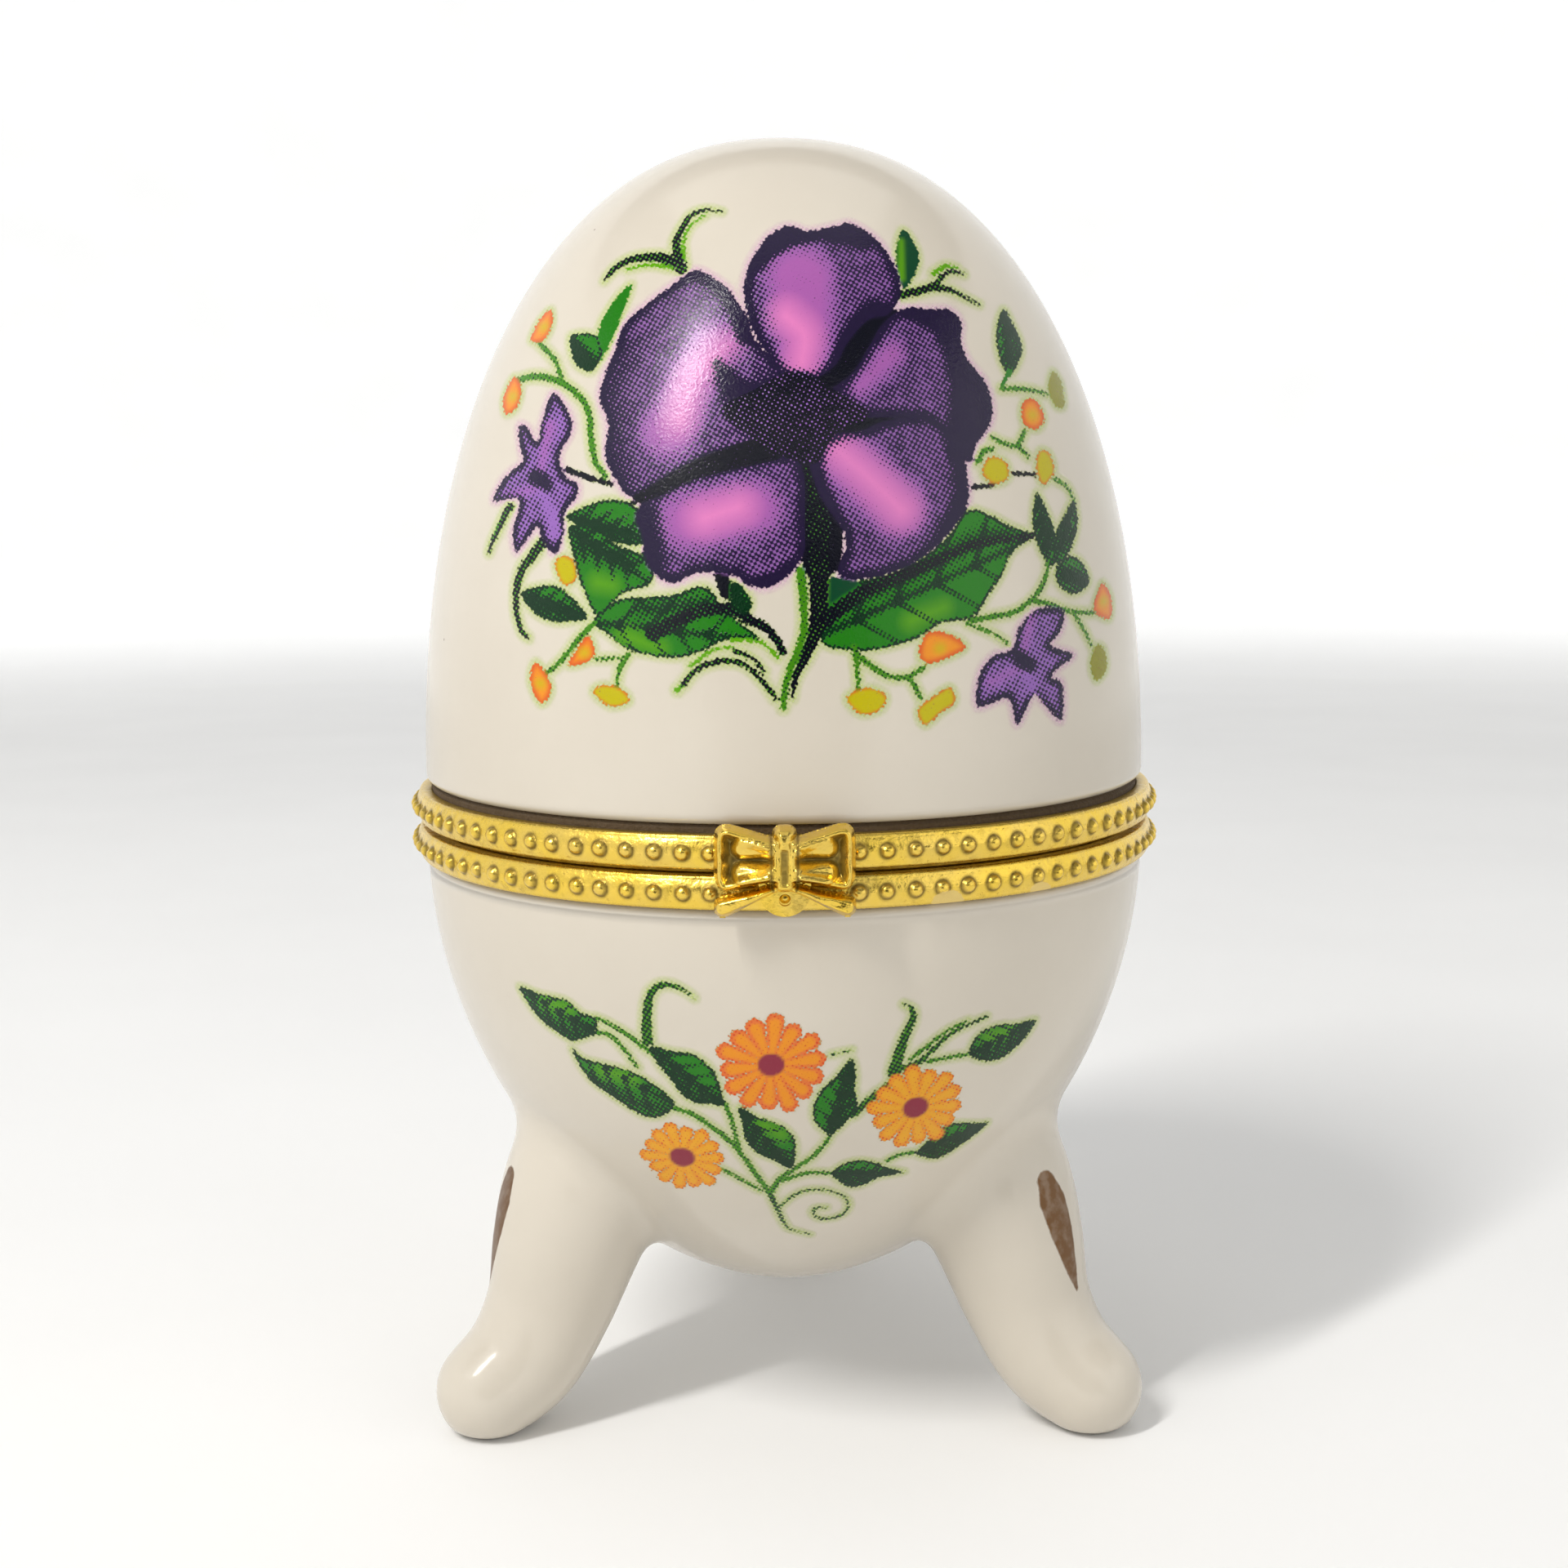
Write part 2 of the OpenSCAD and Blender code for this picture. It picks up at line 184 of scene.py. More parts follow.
class Graph:
    """A material's nodes, built around one Principled shader."""

    def __init__(self, name: str) -> None:
        """Makes an empty material.

        Args:
            name: The finish's name.
        """
        self.material = bpy.data.materials.new(name)
        self.material.use_nodes = True
        self.tree = self.material.node_tree
        self.shader = self.tree.nodes["Principled BSDF"]
        coords = self.node("TexCoord", {}, {})
        scaled = self.node(
            "VectorMath",
            {"operation": "SCALE"},
            {"Vector": coords.outputs["Object"], "Scale": 1 / MM},
        )
        self.place = scaled.outputs["Vector"]

    def node(self, kind: str, settings: dict, inputs: dict) -> bpy.types.Node:
        """Adds any node.

        Args:
            kind: The node's type, without its first word.
            settings: Properties set before its sockets are filled.
            inputs: Values, sockets or Numbers by socket name or index.

        Returns:
            The new node.
        """
        made = self.tree.nodes.new("ShaderNode" + kind)
        for key, value in settings.items():
            setattr(made, key, value)
        for key, value in inputs.items():
            self.feed(made.inputs[key], value)
        return made

    def feed(self, socket: Socket, value: object) -> None:
        """Links a socket, or sets its number or colour.

        Args:
            socket: The input to fill.
            value: A Number, an output socket, a Tone, a vector or a number.
        """
        if isinstance(value, Number):
            value = value.socket
        if isinstance(value, Socket):
            self.tree.links.new(value, socket)
        else:
            socket.default_value = (*value.linear(), 1.0) if isinstance(value, Tone) else value

    def noise(self, per_mm: float, detail: float = 2.0, stretch: tuple = (1, 1, 1)) -> Number:
        """A noise of zero to one about a half.

        Args:
            per_mm: How many waves fit in a millimetre.
            detail: How many finer layers it has.
            stretch: Its scale along each axis.

        Returns:
            The noise.
        """
        place = self.place
        if stretch != (1, 1, 1):
            place = self.node(
                "VectorMath", {"operation": "MULTIPLY"}, {0: self.place, 1: stretch}
            ).outputs["Vector"]
        made = self.node("TexNoise", {}, {"Vector": place, "Scale": per_mm, "Detail": detail})
        return Number(self, made.outputs["Fac"])

    def kept(self, name: str) -> Number:
        """A number kept on the mesh under that name."""
        made = self.node("Attribute", {"attribute_name": name}, {})
        return Number(self, made.outputs["Fac"])

    def kept_colour(self, name: str) -> Socket:
        """A colour kept on the mesh under that name."""
        return self.node("Attribute", {"attribute_name": name}, {}).outputs["Color"]

    def axes(self) -> tuple[Number, Number, Number]:
        """The point's own X, Y and Z in millimetres."""
        split = self.node("SeparateXYZ", {}, {"Vector": self.place})
        return tuple(Number(self, split.outputs[i]) for i in range(3))

    def specks(self, per_mm: float, radius: float, share: float) -> Number:
        """Scattered dots.

        Args:
            per_mm: Cells to a millimetre.
            radius: A dot's radius in cells.
            share: The share of cells that hold a dot.

        Returns:
            One inside a dot.
        """
        cells = self.node("TexVoronoi", {}, {"Vector": self.place, "Scale": per_mm})
        tint = self.node("SeparateColor", {}, {"Color": cells.outputs["Color"]})
        chosen = Number(self, tint.outputs[0]) < share
        size = Number(self, tint.outputs[1]) * radius
        return (Number(self, cells.outputs["Distance"]) < size) * chosen

    def mix(self, mask: "Number | float", low: object, high: object) -> Socket:
        """A colour between two Tones or colour outputs, where zero is low and one is high."""
        made = self.node("Mix", {"data_type": "RGBA"}, {0: mask, 6: low, 7: high})
        return made.outputs[2]

    def bump(self, height: Number, depth_mm: float) -> Socket:
        """The normal bent by a relief, where a height of one is that deep."""
        inputs = {"Strength": 1.0, "Distance": depth_mm * MM, "Height": height}
        return self.node("Bump", {}, inputs).outputs["Normal"]

    def close(self, **inputs: object) -> Material:
        """Feeds the shader.

        Args:
            inputs: Socket values, with underscores for spaces.

        Returns:
            The finished material.
        """
        for key, value in inputs.items():
            self.feed(self.shader.inputs[key.replace("_", " ")], value)
        return self.material


@dataclass(frozen=True)
class Glaze:
    """Clear glaze over cream porcelain, bare on the standing pads and on the hidden sockets."""

    name: str = "cream_glaze"
    bare_below: float = 0.12
    pad_fade: float = 0.1
    socket_low: float = 42.4
    socket_high: float = 47.7
    socket_fade: float = 0.3
    peel_mm: float = 0.05
    gilded: bool = False

    def material(self) -> Material:
        """Mixes the glaze, with its faint clouding, pin specks and orange peel.

        Returns:
            The finish.
        """
        g = Graph(self.name)
        cloud = g.noise(0.07, 3.0)
        fine = g.noise(0.9, 4.0)
        _, _, z = g.axes()
        pads = 1 - z.rise(self.bare_below, self.bare_below + self.pad_fade)
        over = z.rise(self.socket_low, self.socket_low + self.socket_fade)
        under = 1 - z.rise(self.socket_high - self.socket_fade, self.socket_high)
        bare = pads.highest(over * under)
        colour = g.mix(cloud.rise(0.2, 0.85) * 0.28 + fine * 0.05, Tone.CREAM, Tone.CLAY)
        specks = g.specks(0.45, 0.055, 0.16)
        colour = g.mix(specks * 0.75, colour, Tone.SPECK)
        colour = g.mix(bare * 0.8, colour, Tone.CLAY)
        rough = 0.11 + cloud * 0.05 + fine * 0.03 + bare * 0.5
        relief = g.noise(0.16, 2.0) * 0.8 + fine * 0.12 + bare * g.noise(6.0, 3.0) * 0.3
        metal = 0.0
        if self.gilded:
            edge = g.kept("gilding") + (g.noise(1.6, 3.0) - 0.5) * 0.22
            gilt = edge.rise(-0.08, 0.08)
            wear = g.noise(1.2, 4.0).rise(0.3, 0.62)
            colour = g.mix(gilt * (0.84 + wear * 0.16), colour, Tone.BRONZE)
            rough = rough + gilt * 0.22
            metal = gilt * 0.55
        return g.close(
            Base_Color=colour, Roughness=rough, Metallic=metal, Normal=g.bump(relief, self.peel_mm)
        )


@dataclass(frozen=True)
class Gilt:
    """Stamped brass with a worn gilt wash, darker in its recesses and seams with painted shade."""

    name: str = "worn_gilt"
    tone: Tone = Tone.GOLD
    roughness: float = 0.16
    keeps_shade_and_wear: bool = True
    dent_mm: float = 0.16

    def material(self) -> Material:
        """Mixes the gilt, with pits, soft dents, painted shade in its recesses and pale bare patches.

        Returns:
            The finish.
        """
        g = Graph(self.name)
        pits = g.noise(3.2, 5.0)
        dents = g.noise(0.75, 3.0)
        cloud = g.noise(0.35, 3.0)
        colour = g.mix(cloud.rise(0.3, 0.75) * 0.45, self.tone, Tone.PALE_GOLD)
        grime_and_shade = pits.rise(0.6, 0.78) * 0.4 + dents.rise(0.56, 0.74) * 0.22
        if self.keeps_shade_and_wear:
            # Painted shade kept on the mesh darkens the gilt towards the tarnish brown.
            grime_and_shade = (g.kept("painted_shade") * (0.55 + pits * 0.5)).highest(grime_and_shade)
        colour = g.mix(grime_and_shade, colour, Tone.TARNISH_AND_SHADE)
        rough = self.roughness + pits * 0.16 + grime_and_shade * 0.22
        metal = 1 - grime_and_shade * 0.35
        if self.keeps_shade_and_wear:
            worn = (g.kept("worn") + (pits - 0.5) * 0.3).rise(0.0, 0.12)
            colour = g.mix(worn, colour, Tone.PALE_GOLD)
            rough = rough + worn * 0.25
            metal = metal - worn * 0.6
        relief = dents * 0.8 + pits * 0.25
        return g.close(
            Base_Color=colour, Roughness=rough, Metallic=metal, Normal=g.bump(relief, self.dent_mm)
        )


@dataclass(frozen=True)
class Plaster:
    """Brown-grey setting cement, seen as a dark line between shell and rim."""

    name: str = "setting_cement"

    def material(self) -> Material:
        """Mixes the cement, gritty and matte.

        Returns:
            The finish.
        """
        g = Graph(self.name)
        grit = g.noise(4.0, 5.0)
        cloud = g.noise(0.6, 3.0)
        colour = g.mix(cloud * 0.6 + grit * 0.3, Tone.PLASTER, Tone.TARNISH_AND_SHADE)
        return g.close(Base_Color=colour, Roughness=0.72 + grit * 0.2, Normal=g.bump(grit + cloud, 0.12))


@dataclass(frozen=True)
class DrawnBrass:
    """Plain drawn brass of the hinge leaves and their pin."""

    name: str = "drawn_brass"
    grain: tuple = (0.2, 3.0, 6.0)

    def material(self) -> Material:
        """Mixes the brass, with draw lines and finger-darkened clouds.

        Returns:
            The finish.
        """
        g = Graph(self.name)
        lines = g.noise(2.2, 4.0, self.grain)
        cloud = g.noise(0.5, 4.0)
        pits = g.noise(5.0, 3.0)
        colour = g.mix(cloud.rise(0.35, 0.8) * 0.5 + pits.rise(0.6, 0.8) * 0.3, Tone.BRASS, Tone.TARNISH_AND_SHADE)
        return g.close(
            Base_Color=colour,
            Roughness=0.26 + lines * 0.14 + pits * 0.08,
            Metallic=1 - pits.rise(0.66, 0.85) * 0.4,
            Normal=g.bump(lines * 0.6 + cloud * 0.6, 0.05),
        )


@dataclass(frozen=True)
class Transfer:
    """Screen-printed transfer ink fired into the glaze."""

    name: str = "transfer_ink"
    screen_mm: float = 0.4
    screen_turn: float = 15.0

    def material(self) -> Material:
        """Mixes the ink, with its dot screen, ragged edge and pale fired halo.

        Returns:
            The finish.
        """
        g = Graph(self.name)
        x, _, z = g.axes()
        wave = TURN / self.screen_mm
        c, s = math.cos(math.radians(self.screen_turn)), math.sin(math.radians(self.screen_turn))
        dots = (x * (wave * c) + z * (wave * s)).sine() * (z * (wave * c) - x * (wave * s)).sine()
        rough_edge = (g.noise(4.0, 4.0) - 0.5) * 0.42 + dots * 0.06
        cover = (g.kept("depth") + rough_edge).rise(-0.035, 0.05)
        glow = g.kept("halo") * (0.75 + dots * 0.25)
        cloth = g.noise(1.1, 4.0)
        grain = g.noise(5.0, 4.0)
        tone = g.kept("dark") + dots * 0.27 + (grain - 0.5) * 0.5 + (cloth - 0.5) * 0.3
        dotted = tone.rise(0.4, 0.6)
        ink = g.mix(dotted, g.kept_colour("ink"), g.kept_colour("deep"))
        colour = g.mix(cover, g.kept_colour("halo_tint"), ink)
        return g.close(
            Base_Color=colour,
            Roughness=0.09 + cover * 0.03 + grain * 0.05,
            Specular_IOR_Level=0.27,
            Alpha=cover * 0.985 + (1 - cover) * glow,
            Normal=g.bump(cloth * 0.4 + grain * cover * 0.7 + dotted * cover * 0.3, 0.034),
        )


@dataclass(frozen=True)
class Paper:
    """Pale seamless studio paper."""

    name: str = "studio_paper"
    shade: tuple = (0.9, 0.9, 0.895)
    glow: float = 0.45
    glow_from: float = 350.0
    glow_full: float = 900.0

    def material(self) -> Material:
        """Mixes the paper, almost even.

        Returns:
            The finish.
        """
        g = Graph(self.name)
        grain = g.noise(0.02, 2.0)
        low = tuple(c * 0.94 for c in self.shade)
        colour = g.mix(grain, (*self.shade, 1.0), (*low, 1.0))
        x, y, _ = g.axes()
        far = (x * x + y * y).rise(self.glow_from**2, self.glow_full**2)
        lit = g.mix(far, (0.0, 0.0, 0.0, 1.0), colour)
        return g.close(Base_Color=colour, Roughness=0.9, Emission_Color=lit, Emission_Strength=self.glow)


@dataclass(frozen=True)
class DarkCard:
    """Black card that fades out towards its edges."""

    place: tuple
    size: tuple
    name: str = "dark_card"
    shade: tuple = (0.03, 0.03, 0.03)

    def material(self) -> Material:
        """Mixes the card, full in the middle and clear at its rim.

        Returns:
            The finish.
        """
        g = Graph(self.name)
        x, _, z = g.axes()
        out = (x - self.place[0] / MM) * (2 * MM / self.size[0])
        up = (z - self.place[2] / MM) * (2 * MM / self.size[1])
        cloud = g.noise(0.02, 2.0)
        solid = 1 - (out * out + up * up + cloud * 0.1).rise(0.1, 1.0)
        colour = g.mix(cloud, (*self.shade, 1.0), (0.05, 0.05, 0.05, 1.0))
        return g.close(Base_Color=colour, Roughness=0.9, Alpha=solid)


# ---- mesh making


def place(name: str, data: bpy.types.ID) -> bpy.types.Object:
    """Puts a mesh, a lamp or a camera in the scene.

    Args:
        name: The object's name.
        data: What it shows.

    Returns:
        The new object.
    """
    thing = bpy.data.objects.new(name, data)
    bpy.context.scene.collection.objects.link(thing)
    return thing


@dataclass
class Shape:
    """Points in millimetres, faces, and numbers or colours kept on the points."""

    points: Array
    faces: list
    kept: dict = field(default_factory=dict)

    def piece(
        self, name: str, body: str, slot: str, material: Material,
        stands_for: tuple[str, ...] = (), turn_out: bool = True,
    ) -> None:
        """Makes the object and ties it to the model.

        Args:
            name: The piece's name.
            body: The moving body it rides on.
            slot: The record's material slot, not used.
            material: Its finish.
            stands_for: The model's nodes that it replaces.
            turn_out: Whether its faces are turned outwards as a closed skin.
        """
        mesh = bpy.data.meshes.new(name)
        mesh.from_pydata((np.asarray(self.points) * MM).tolist(), [], list(map(tuple, self.faces)))
        for key, values in self.kept.items():
            self._keep(mesh, key, np.asarray(values, np.float32))
        if turn_out:
            work = bmesh.new()
            work.from_mesh(mesh)
            bmesh.ops.recalc_face_normals(work, faces=work.faces[:])
            work.to_mesh(mesh)
            work.free()
        mesh.materials.append(material)
        mesh.shade_smooth()
        thing = place(name, mesh)
        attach(thing, body)
        if stands_for:
            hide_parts(*stands_for)
        LOG.info("%s: %d faces on %s", name, len(mesh.polygons), body)

    def _keep(self, mesh: bpy.types.Mesh, key: str, values: Array) -> None:
        """Keeps one number or colour for each point.

        Args:
            mesh: The mesh.
            key: The attribute's name.
            values: One value, or one red, green and blue, for each point.
        """
        if values.ndim == 1:
            mesh.attributes.new(key, "FLOAT", "POINT").data.foreach_set("value", values)
            return
        colours = np.ones((len(values), 4), np.float32)
        colours[:, :3] = values
        mesh.attributes.new(key, "FLOAT_COLOR", "POINT").data.foreach_set("color", colours.ravel())


def revolve(section: list[Point], columns: int, wrap: bool = False) -> Shape:
    """Turns a section about the vertical axis.

    Args:
        section: Its (radius, height) points.
        columns: Steps round the axis.
        wrap: Whether the last point joins the first.

    Returns:
        The turned skin, with a point at each end that lies on the axis.
    """
    angles = np.arange(columns) * TURN / columns
    rings, points = [], []
    for r, z in section:
        start = sum(len(p) for p in points)
        if r < ON_AXIS:
            points.append(np.array([[0.0, 0.0, z]]))
            rings.append(np.full(columns, start))
        else:
            ring = np.column_stack([r * np.cos(angles), r * np.sin(angles), np.full(columns, z)])
            points.append(ring)
            rings.append(start + np.arange(columns))
    faces = []
    for low, high in zip(rings, rings[1:] + (rings[:1] if wrap else [])):
        if low is high:
            continue
        quads = np.column_stack([low, np.roll(low, -1), np.roll(high, -1), high])
        if low[0] == low[1]:
            quads = quads[:, [0, 2, 3]]
        elif high[0] == high[1]:
            quads = quads[:, [0, 1, 2]]
        faces.extend(quads.tolist())
    return Shape(np.vstack(points), faces)


def arc(centre: Point, radius: float, start: float, end: float, steps: int) -> list[Point]:
    """Points along an arc.

    Args:
        centre: The arc's centre.
        radius: Its radius.
        start: Its first angle, in degrees.
        end: Its last angle, in degrees.
        steps: How many pieces it has.

    Returns:
        The points, both ends included.
    """
    angles = [math.radians(start + (end - start) * i / steps) for i in range(steps + 1)]
    return [(centre[0] + radius * math.cos(a), centre[1] + radius * math.sin(a)) for a in angles]


def rounded(corners: list[Point], radius: float, steps: int = 3) -> list[Point]:
    """Softens every corner of a closed section.

    Args:
        corners: The section's corners.
        radius: How far from each corner the bend starts.
        steps: Points added to a corner.

    Returns:
        The softened section.
    """
    made = []
    for i, corner in enumerate(corners):
        c = np.array(corner)
        back, ahead = np.array(corners[i - 1]) - c, np.array(corners[(i + 1) % len(corners)]) - c
        reach = min(radius, 0.45 * np.linalg.norm(back), 0.45 * np.linalg.norm(ahead))
        a = c + back / np.linalg.norm(back) * reach
        b = c + ahead / np.linalg.norm(ahead) * reach
        for k in range(steps + 1):
            t = k / steps
            p = (1 - t) ** 2 * a + 2 * t * (1 - t) * c + t * t * b
            made.append((float(p[0]), float(p[1])))
    return made


def smooth_path(points: Points, closed: bool = False, steps: int = 5) -> Array:
    """A flowing curve through chosen points.

    Args:
        points: The points it passes through.
        closed: Whether it comes back to its start.
        steps: Pieces between two points.

    Returns:
        The curve's points.
    """
    p = np.array(points, float)
    if len(p) < 3:
        return p
    if closed:
        before, after, far = np.roll(p, 1, 0), np.roll(p, -1, 0), np.roll(p, -2, 0)
        here = p
    else:
        here, after = p[:-1], p[1:]
        before = np.vstack([2 * p[0] - p[1], p[:-2]])
        far = np.vstack([p[2:], 2 * p[-1] - p[-2]])
    t = (np.arange(steps) / steps)[None, :, None]
    a, b, c, d = before[:, None], here[:, None], after[:, None], far[:, None]
    curve = 0.5 * (
        2 * b + (c - a) * t + (2 * a - 5 * b + 4 * c - d) * t**2 + (3 * b - a - 3 * c + d) * t**3
    )
    curve = curve.reshape(-1, 2)
    return curve if closed else np.vstack([curve, p[-1]])


def gap_to_edge(a: Array, b: Array, x: Array, z: Array) -> tuple[Array, Array]:
    """How far points lie from a straight edge.

    Args:
        a: The edge's start.
        b: Its end.
        x: The points' first coordinates.
        z: Their second coordinates.

    Returns:
        Where along the edge the nearest place is, from zero to one, and the distance to it.
    """
    run = b - a
    t = np.clip(((x - a[0]) * run[0] + (z - a[1]) * run[1]) / max(float(run @ run), TINY), 0, 1)
    return t, np.hypot(x - a[0] - run[0] * t, z - a[1] - run[1] * t)


def path_depth(path: Array, widths: Array, x: Array, z: Array) -> Array:
    """How far points lie inside a line of changing width.

    Args:
        path: The line's points.
        widths: Its width at each of them.
        x: The tested points' first coordinates.
        z: Their second coordinates.

    Returns:
        The distance in from the line's edge, below zero outside.
    """
    best = np.full(x.shape, -FAR)
    for (a, wide), (b, next_wide) in pairwise(zip(path, widths)):
        t, gap = gap_to_edge(a, b, x, z)
        best = np.maximum(best, (wide + (next_wide - wide) * t) / 2 - gap)
    return best


def outline_depth(outline: Array, x: Array, z: Array) -> Array:
    """How far points lie inside a closed outline.

    Args:
        outline: The outline's points.
        x: The tested points' first coordinates.
        z: Their second coordinates.

    Returns:
        The distance in from the outline, below zero outside.
    """
    near = np.full(x.shape, FAR)
    inside = np.zeros(x.shape, bool)
    for a, b in zip(outline, np.roll(outline, -1, 0)):
        near = np.minimum(near, gap_to_edge(a, b, x, z)[1])
        if a[1] != b[1]:
            crosses = (a[1] > z) != (b[1] > z)
            inside ^= crosses & (x < (b[0] - a[0]) * (z - a[1]) / (b[1] - a[1]) + a[0])
    return np.where(inside, near, -near)


def turn_from(start: float | Array, turn: Array) -> Array:
    """The shortest turn from a start to other turns.

    Args:
        start: The turn that they are measured from, in radians.
        turn: The other turns.

    Returns:
        The differences, from minus to plus half a circle.
    """
    return (turn - start + math.pi) % TURN - math.pi


def hump(off: Array, width: float) -> Array:
    """A smooth hump.

    Args:
        off: How far points are from its top.
        width: How far out it falls to about a third.

    Returns:
        One at the top, and towards zero away from it.
    """
    return np.exp(-((off / width) ** 2))


Depth = Callable[[Array, Array], Array]


def trimmed_grid(x_span: Point, z_span: Point, step: float, depth: Depth) -> tuple[Array, Array]:
    """A fine net cut to a shape.

    Args:
        x_span: Its first and last x.
        z_span: Its first and last z.
        step: The net's pitch.
        depth: A function of x and z that is above zero inside the shape.

    Returns:
        The net's (x, z) points and its four-sided faces.
    """
    xs = np.linspace(*x_span, max(2, round((x_span[1] - x_span[0]) / step)) + 1)
    zs = np.linspace(*z_span, max(2, round((z_span[1] - z_span[0]) / step)) + 1)
    x, z = np.meshgrid(xs, zs)
    d = depth(x.ravel(), z.ravel()).reshape(x.shape)
    inner = d > 0
    cells = inner[:-1, :-1] | inner[1:, :-1] | inner[:-1, 1:] | inner[1:, 1:]
    edge_keep = (x <= x_span[0]) | (x >= x_span[1]) | (z <= z_span[0]) | (z >= z_span[1])
    gz, gx = np.gradient(d, zs, xs)
    size = np.maximum(gx**2 + gz**2, 0.05)
    slide = np.where(~inner & ~edge_keep, -d / size, 0.0)
    reach = 0.9 * step
    x = x + np.clip(slide * gx, -reach, reach)
    z = z + np.clip(slide * gz, -reach, reach)
    ids = np.arange(x.size).reshape(x.shape)
    quads = np.stack([ids[:-1, :-1], ids[:-1, 1:], ids[1:, 1:], ids[1:, :-1]], -1)[cells]
    used, quads = np.unique(quads, return_inverse=True)
    return np.column_stack([x.ravel()[used], z.ravel()[used]]), quads.reshape(-1, 4)


def rim_edges(quads: Array) -> Array:
    """The directed edges that only one face has.

    Args:
        quads: The faces.

    Returns:
        Their (from, to) pairs.
    """
    edges = np.vstack([quads[:, [i, (i + 1) % 4]] for i in range(4)])
    key = np.sort(edges, 1)
    _, index, count = np.unique(key, axis=0, return_index=True, return_counts=True)
    return edges[index[count == 1]]


# ---- porcelain


@dataclass(frozen=True)
class EggHalf:
    """Half an egg turned about the upright axis: the radius falls from its mouth to its end."""

    mouth_r: float
    rim_z: float
    height: float
    up_power: float
    out_power: float
    least_slope: float = 0.03

    def radius(self, z: Array | float) -> Array:
        """The skin's radius at a height, zero past the end."""
        t = np.clip((np.asarray(z, float) - self.rim_z) / self.height, 0, 1)
        return self.mouth_r * (1 - t**self.up_power) ** (1 / self.out_power)

    def section(self, steps: int, first_turn: float = 0.0) -> list[Point]:
        """The profile from the mouth to the end.

        Args:
            steps: How many pieces it has.
            first_turn: Where it starts, from 0 at the mouth to 1 at the end.

        Returns:
            Its (radius, height) points.
        """
        made = []
        for i in range(steps + 1):
            turn = (first_turn + (1 - first_turn) * i / steps) * math.pi / 2
            out = math.cos(turn) ** (2 / self.out_power) if i < steps else 0.0
            up = math.sin(turn) ** (2 / self.up_power)
            made.append((self.mouth_r * out, self.rim_z + self.height * up))
        return made

    def field(self, r: Array, z: Array) -> Array:
        """The rough distance outside the skin, below zero inside.

        Args:
            r: The points' distances from the axis.
            z: Their heights.

        Returns:
            The distance.
        """
        t = np.clip((z - self.rim_z) / self.height, 0, 3)
        out = np.maximum(r, 1e-4) / self.mouth_r
        level = out**self.out_power + t**self.up_power - 1
        slope_r = self.out_power / self.mouth_r * out ** (self.out_power - 1)
        slope_z = self.up_power / abs(self.height) * t ** (self.up_power - 1)
        return level / np.maximum(np.hypot(slope_r, slope_z), self.least_slope)


@dataclass
class LidShell:
    """The porcelain upper half."""

    outer: EggHalf = EggHalf(27.4, 47.85, 47.25, 2.15, 2.26)
    inner: EggHalf = EggHalf(24.9, 47.85, 44.75, 2.15, 2.26)
    rim_round: float = 0.7
    spigot_r: float = 26.7
    spigot_z: float = 45.75
    lip_round: float = 0.2
    step_in: float = 0.6
    columns: int = 400
    outer_steps: int = 110
    inner_steps: int = 60

    def section(self) -> list[Point]:
        """Draws the shell's whole profile, from the outer top to the inner top.

        Returns:
            Its (radius, height) points.
        """
        r, rim = self.outer.mouth_r, self.outer.rim_z
        skin = [p for p in self.outer.section(self.outer_steps) if p[1] > rim + self.rim_round]
        made = skin[::-1]
        made += arc((r - self.rim_round, rim + self.rim_round), self.rim_round, 0, -90, 6)
        foot, lip = self.spigot_z, self.lip_round
        made += [(self.spigot_r, rim - self.step_in), (self.spigot_r, foot + lip)]
        made += [(self.spigot_r - lip, foot), (self.inner.mouth_r + lip, foot)]
        made += [(self.inner.mouth_r, foot + lip)]
        made += [(self.inner.mouth_r, rim - self.step_in)]
        return made + self.inner.section(self.inner_steps)

    def build(self) -> None:
        """Makes and dresses the shell."""
        glaze = Glaze(name="lid_glaze").material()
        revolve(self.section(), self.columns).piece(
            "lid_shell", "lid", "lid_porcelain", glaze, stands_for=("lid_porcelain",)
        )


